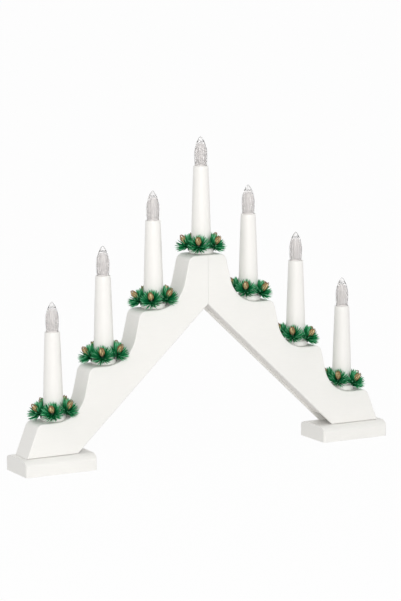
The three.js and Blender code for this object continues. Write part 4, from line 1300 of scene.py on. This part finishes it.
class CANDLE_OT_wreaths(bpy.types.Operator):
    """Make the wreaths: a wire ring with sprigs of needles, each round a small cone"""

    bl_idname = "candle_holder.wreaths"
    bl_label = "Wreaths"

    GOLDEN = math.pi * (3 - math.sqrt(5))
    CURL = 5.0
    # Tints for the needles in turn: a high tint gives a needle more painted highlight at its tip and less
    # painted shade along it.
    TINTS = (0.15, 0.9, 0.25, 0.15, 0.75)
    RAISES = (0, 0.4, 0.9, 1.8)
    WIDE, NARROW, FLARE = math.radians(104), math.radians(48), math.radians(18)
    SHORTEST, TRIM = 2 * MM, 0.4 * MM
    TESTED = (0.3, 0.55, 0.8, 1.0)
    HUSKS = ((2.5, 0.93, 0.97), (2.2, 1.0, 0.6), (2.4, 0.88, 0.97), (2.2, 0.97, 0.5))

    def execute(self, context):
        w = context.scene.wreath_sizes
        green, tan, wire = (material_of(name) for name in ("moulded_needles", "cone_husk", "wreath_wire"))
        needle, cone = self.needle_shape(), self.cone_shape(w)
        for number in CANDLES:
            sprigs = sprigs_of(w, number)
            body = f"wreath_body_{number}"
            points = self.needle_points(context, number, sprigs)
            needles = repeat(f"needles_{number}", points, needle, w.girth, green)
            self.finish(needles, number, body, "spruce_needles", green, f"wreath_{number}")
            cones = repeat(f"cones_{number}", self.cone_points(w, number, sprigs), cone, 1.0, tan)
            self.finish(cones, number, body, "gold_cone", tan)
            ring = new_object(f"wreath_wire_{number}", self.ring_mesh(w, number, sprigs))
            self.finish(ring, number, body, "spruce_needles", wire)
        discard(needle, cone)
        return {"FINISHED"}

    def finish(self, piece, number, body, slot, material, *nodes):
        piece.data.transform(Matrix.Translation(PLACES[number]))
        soften(piece.data, 50)
        settle(piece, body, slot, material, *nodes)

    def needle_shape(self):
        """A needle of unit length and half width that curves towards +X, and how far along each point is."""
        bm = bmesh.new()
        along = bm.verts.layers.float.new("along")
        rings, flatness, rows = 5, 0.8, []
        for share in [i / rings for i in range(rings)]:
            width = 0.8 + 0.55 * share - 0.95 * share * share
            bend = self.CURL * share * share
            row = [bm.verts.new((bend + width * x * flatness, width * y, share)) for x, y in circle(4, 0.5)]
            for vertex in row:
                vertex[along] = share
            rows.append(row)
        tip = bm.verts.new((self.CURL, 0, 1))
        tip[along] = 1
        skin(bm, rows + [[tip]])
        bm.faces.new(rows[0][::-1])
        return new_object("needle", mesh_from(bm, "needle", 80))

    def needle_points(self, context, number, sprigs):
        w, arch, candle = context.scene.wreath_sizes, context.scene.arch_sizes, context.scene.candle_sizes
        dice = random.Random(w.seed * 100 + number)
        outward = outward_of(number)
        wide = math.cos(self.WIDE)
        up = Vector((0, 0, 1))
        points = []

        def spread(size):
            return dice.uniform(-size, size)

        def fits(start, way, grown, curl):
            return all(
                is_free(arch, candle, w, start + way * grown * part + curl * part * part, outward)
                for part in self.TESTED
            )

        for sprig in sprigs:
            bend = sprig.axis + up * 0.5
            curl = bend * w.girth * self.CURL / bend.length
            for i in range(w.needles):
                share = (i + 0.5) / w.needles
                bearing = i * self.GOLDEN + spread(0.12)
                narrow = math.cos(self.NARROW - self.FLARE * math.sin(bearing))
                splay = math.acos(narrow + (wide - narrow) * share)
                aim = sprig.way(splay + spread(0.06), bearing)
                out = sprig.way(QUARTER, bearing)
                start = sprig.root + sprig.axis * (sprig.HEIGHT * (0.8 - 0.6 * share)) + out * 1.2 * MM
                grown = w.needle * (0.82 + 0.16 * math.sin(math.pi * share)) * dice.uniform(0.95, 1.05)
                ways = [(aim + up * raised).normalized() for raised in self.RAISES]
                aim = next((way for way in ways if fits(start, way, grown, curl)), aim)
                while grown > self.SHORTEST and not fits(start, aim, grown, curl):
                    grown -= self.TRIM
                if grown > self.SHORTEST:
                    tint = self.TINTS[i % len(self.TINTS)] + spread(0.15)
                    points.append(Point(start, aim, bend + out * 0.2, grown, tint))
        return points

    def cone_shape(self, w):
        """Four pointed husks round a seed, two of them open loops. A measure is high at each rim."""
        bm = bmesh.new()
        rim = bm.verts.layers.float.new("along")
        for k, (half, high, cover) in enumerate(self.HUSKS):
            leaf = Husk(k * QUARTER, half * MM, 0.0, high * w.cone)
            leaf.add_rim(bm, rim, 0.32 * MM)
            leaf.add_skin(bm, rim, cover, 0.22 * MM)
        seed, half_length, middle = 1.3 * MM, w.cone * 0.36, (0, 0, w.cone * 0.42)
        add_ball(bm, Matrix.Translation(middle) @ Matrix.Diagonal((seed, seed, half_length, 1)))
        return new_object("cone", mesh_from(bm, "cone", 60))

    def cone_points(self, w, number, sprigs):
        dice = random.Random(w.seed * 50 + number)
        points = []
        for sprig in sprigs:
            aim = sprig.way(dice.uniform(0, 0.08), dice.uniform(0, 2 * math.pi))
            start = sprig.root + sprig.axis * (sprig.HEIGHT * 0.95)
            side = sprig.way(QUARTER, -QUARTER + dice.uniform(-0.6, 0.6))
            points.append(Point(start, aim, side, dice.uniform(0.88, 0.98), 0))
        return points

    def ring_mesh(self, w, number, sprigs):
        """The wire ring with the twisted foot of each sprig on it."""
        bm = bmesh.new()
        radius, pose = w.wire / 2, wreath_pose(w, number)
        section = [(w.ring + radius * x, radius * y) for x, y in circle(8)]
        rows = []
        for x, y in circle(60):
            rows.append([bm.verts.new(pose @ Vector((out * x, out * y, z))) for out, z in section])
        skin(bm, rows, closed=True)
        for sprig in sprigs:
            turn = Matrix((sprig.side, sprig.lift, sprig.axis)).transposed().to_4x4()
            middle = Matrix.Translation(sprig.root + sprig.axis * 1.9 * MM)
            add_ball(bm, middle @ turn @ Matrix.Diagonal((2.3 * MM, 2.3 * MM, 3.0 * MM, 1)))
            self.add_stub(bm, sprig, number)
        return mesh_from(bm, "wreath_wire")

    def add_stub(self, bm, sprig, number):
        """The twisted wire end that hangs below a sprig beside the dish."""
        scene, outward = bpy.context.scene, outward_of(number)
        sizes = scene.arch_sizes, scene.candle_sizes, scene.wreath_sizes
        place = sprig.root + sprig.side * 1.5 * MM
        reach, radius, overlap = 3.4 * MM, 0.75 * MM, 0.6 * MM
        while reach > 1 * MM and not is_free(*sizes, place - Vector((0, 0, reach)), outward):
            reach -= self.TRIM
        middle = Matrix.Translation(place - Vector((0, 0, reach / 2 - overlap)))
        add_ball(bm, middle @ Matrix.Diagonal((radius, radius, reach / 2 + overlap, 1)))


class CANDLE_OT_stage(bpy.types.Operator):
    """Set the camera, the pale floor and the soft studio light"""

    bl_idname = "candle_holder.stage"
    bl_label = "Stage"

    LOOK_AT, LAMPS_AT = Vector((0.000264, 0, 0.150995)), Vector((0, 0, 0.14))
    AMBIENT, FLOOR_GLOW = 0.62, 0.96

    def execute(self, context):
        self.camera(context.scene)
        self.floor()
        self.world(context.scene)
        self.lamp("key", (-0.95, -2.1, 0.85), 1.9, 25, (1.0, 0.99, 0.975))
        self.lamp("fill", (1.0, -1.9, 1.1), 1.6, 2, (0.98, 0.99, 1.0))
        return {"FINISHED"}

    def camera(self, scene):
        """The photograph's view, fitted to the arch."""
        azimuth, elevation, roll = math.radians(-28.314), math.radians(8.6954), math.radians(-0.269)
        distance, focal, long_side, shift = 2.44864, 2511.2, 601, (-1.16, -0.4)
        level = math.cos(elevation)
        back = Vector((math.sin(azimuth) * level, -math.cos(azimuth) * level, math.sin(elevation)))
        right = Vector((0, 0, 1)).cross(back).normalized()
        up = back.cross(right)
        turned_right = right * math.cos(roll) + up * math.sin(roll)
        turned_up = up * math.cos(roll) - right * math.sin(roll)
        data = bpy.data.cameras.new("camera")
        data.sensor_width = 36
        data.lens = focal / long_side * data.sensor_width
        data.shift_x, data.shift_y = (pixels / long_side for pixels in shift)
        data.clip_end = 100
        camera = bpy.data.objects.new("camera", data)
        scene.collection.objects.link(camera)
        turn = Matrix((turned_right, turned_up, back)).transposed().to_4x4()
        camera.matrix_world = Matrix.Translation(self.LOOK_AT + back * distance) @ turn
        scene.camera = camera
        scene.view_settings.view_transform = "Standard"

    def seen(self, tree):
        """1 for rays from the camera and for what metal and clear plastic show, 0 for the light itself."""
        path = tree.tree.nodes.new("ShaderNodeLightPath")
        camera, glossy, through = (
            Socket(tree, path.outputs[f"Is {kind} Ray"]) for kind in ("Camera", "Glossy", "Transmission")
        )
        return tree.node("ShaderNodeMath", {"operation": "MINIMUM"}, {0: camera + glossy + through, 1: 1.0})

    def floor(self):
        """A pale floor that keeps the holder's soft shadow."""
        mesh = bpy.data.meshes.new("floor")
        half, height = 30, -0.2 * MM
        corners = [(x, y, height) for x, y in oblong(-half, -half, half, half)]
        mesh.from_pydata(corners, [], [(0, 1, 2, 3)])
        floor = new_object("floor", mesh)
        material, tree, shader = new_material("pale_floor", (0.86, 0.86, 0.86), 0.9)
        glow = tree.node("ShaderNodeEmission", None, {"Color": (1, 1, 1, 1), "Strength": 1.0})
        blend(material, tree, self.seen(tree) * self.FLOOR_GLOW, shader, glow)
        mesh.materials.append(material)

    def world(self, scene):
        world = bpy.data.worlds.new("studio")
        world.use_nodes = True
        scene.world = world
        tree = Tree(world.node_tree)
        background = world.node_tree.nodes["Background"]
        background.inputs["Color"].default_value = (1, 1, 1, 1)
        tree.feed(background.inputs["Strength"], self.AMBIENT + self.seen(tree) * (1 - self.AMBIENT))

    def lamp(self, name, place, size, power, tint):
        data = bpy.data.lights.new(name, "AREA")
        data.shape = "DISK"
        data.size = size
        data.energy = power
        data.color = tint
        lamp = bpy.data.objects.new(name, data)
        bpy.context.scene.collection.objects.link(lamp)
        lamp.location = place
        aim = self.LAMPS_AT - Vector(place)
        lamp.rotation_euler = aim.to_track_quat("-Z", "Y").to_euler()


OPERATORS = (
    CANDLE_OT_stage,
    CANDLE_OT_arms,
    CANDLE_OT_feet,
    CANDLE_OT_hardware,
    CANDLE_OT_sleeves,
    CANDLE_OT_dishes,
    CANDLE_OT_holders,
    CANDLE_OT_bulbs,
    CANDLE_OT_wreaths,
)
GROUPS = {"arch_sizes": ArchSizes, "candle_sizes": CandleSizes, "wreath_sizes": WreathSizes, "finish": Finish}


class CANDLE_PT_panel(bpy.types.Panel):
    """Sizes, colours and steps of the candle holder"""

    bl_idname = "CANDLE_PT_panel"
    bl_label = "Advent candle holder"
    bl_space_type = "VIEW_3D"
    bl_region_type = "UI"
    bl_category = "Candle holder"

    def draw(self, context):
        for name, group in GROUPS.items():
            box = self.layout.box()
            for key in group.__annotations__:
                box.prop(getattr(context.scene, name), key)
        for operator in OPERATORS:
            self.layout.operator(operator.bl_idname)


def register():
    for group in (*GROUPS.values(), *OPERATORS, CANDLE_PT_panel):
        bpy.utils.register_class(group)
    for name, group in GROUPS.items():
        setattr(bpy.types.Scene, name, PointerProperty(type=group))


def unregister():
    for name in GROUPS:
        delattr(bpy.types.Scene, name)
    for group in (CANDLE_PT_panel, *reversed(OPERATORS), *GROUPS.values()):
        bpy.utils.unregister_class(group)


def main():
    register()
    for operator in OPERATORS:
        section, name = operator.bl_idname.split(".")
        getattr(getattr(bpy.ops, section), name)()


if __name__ == "__main__":
    main()
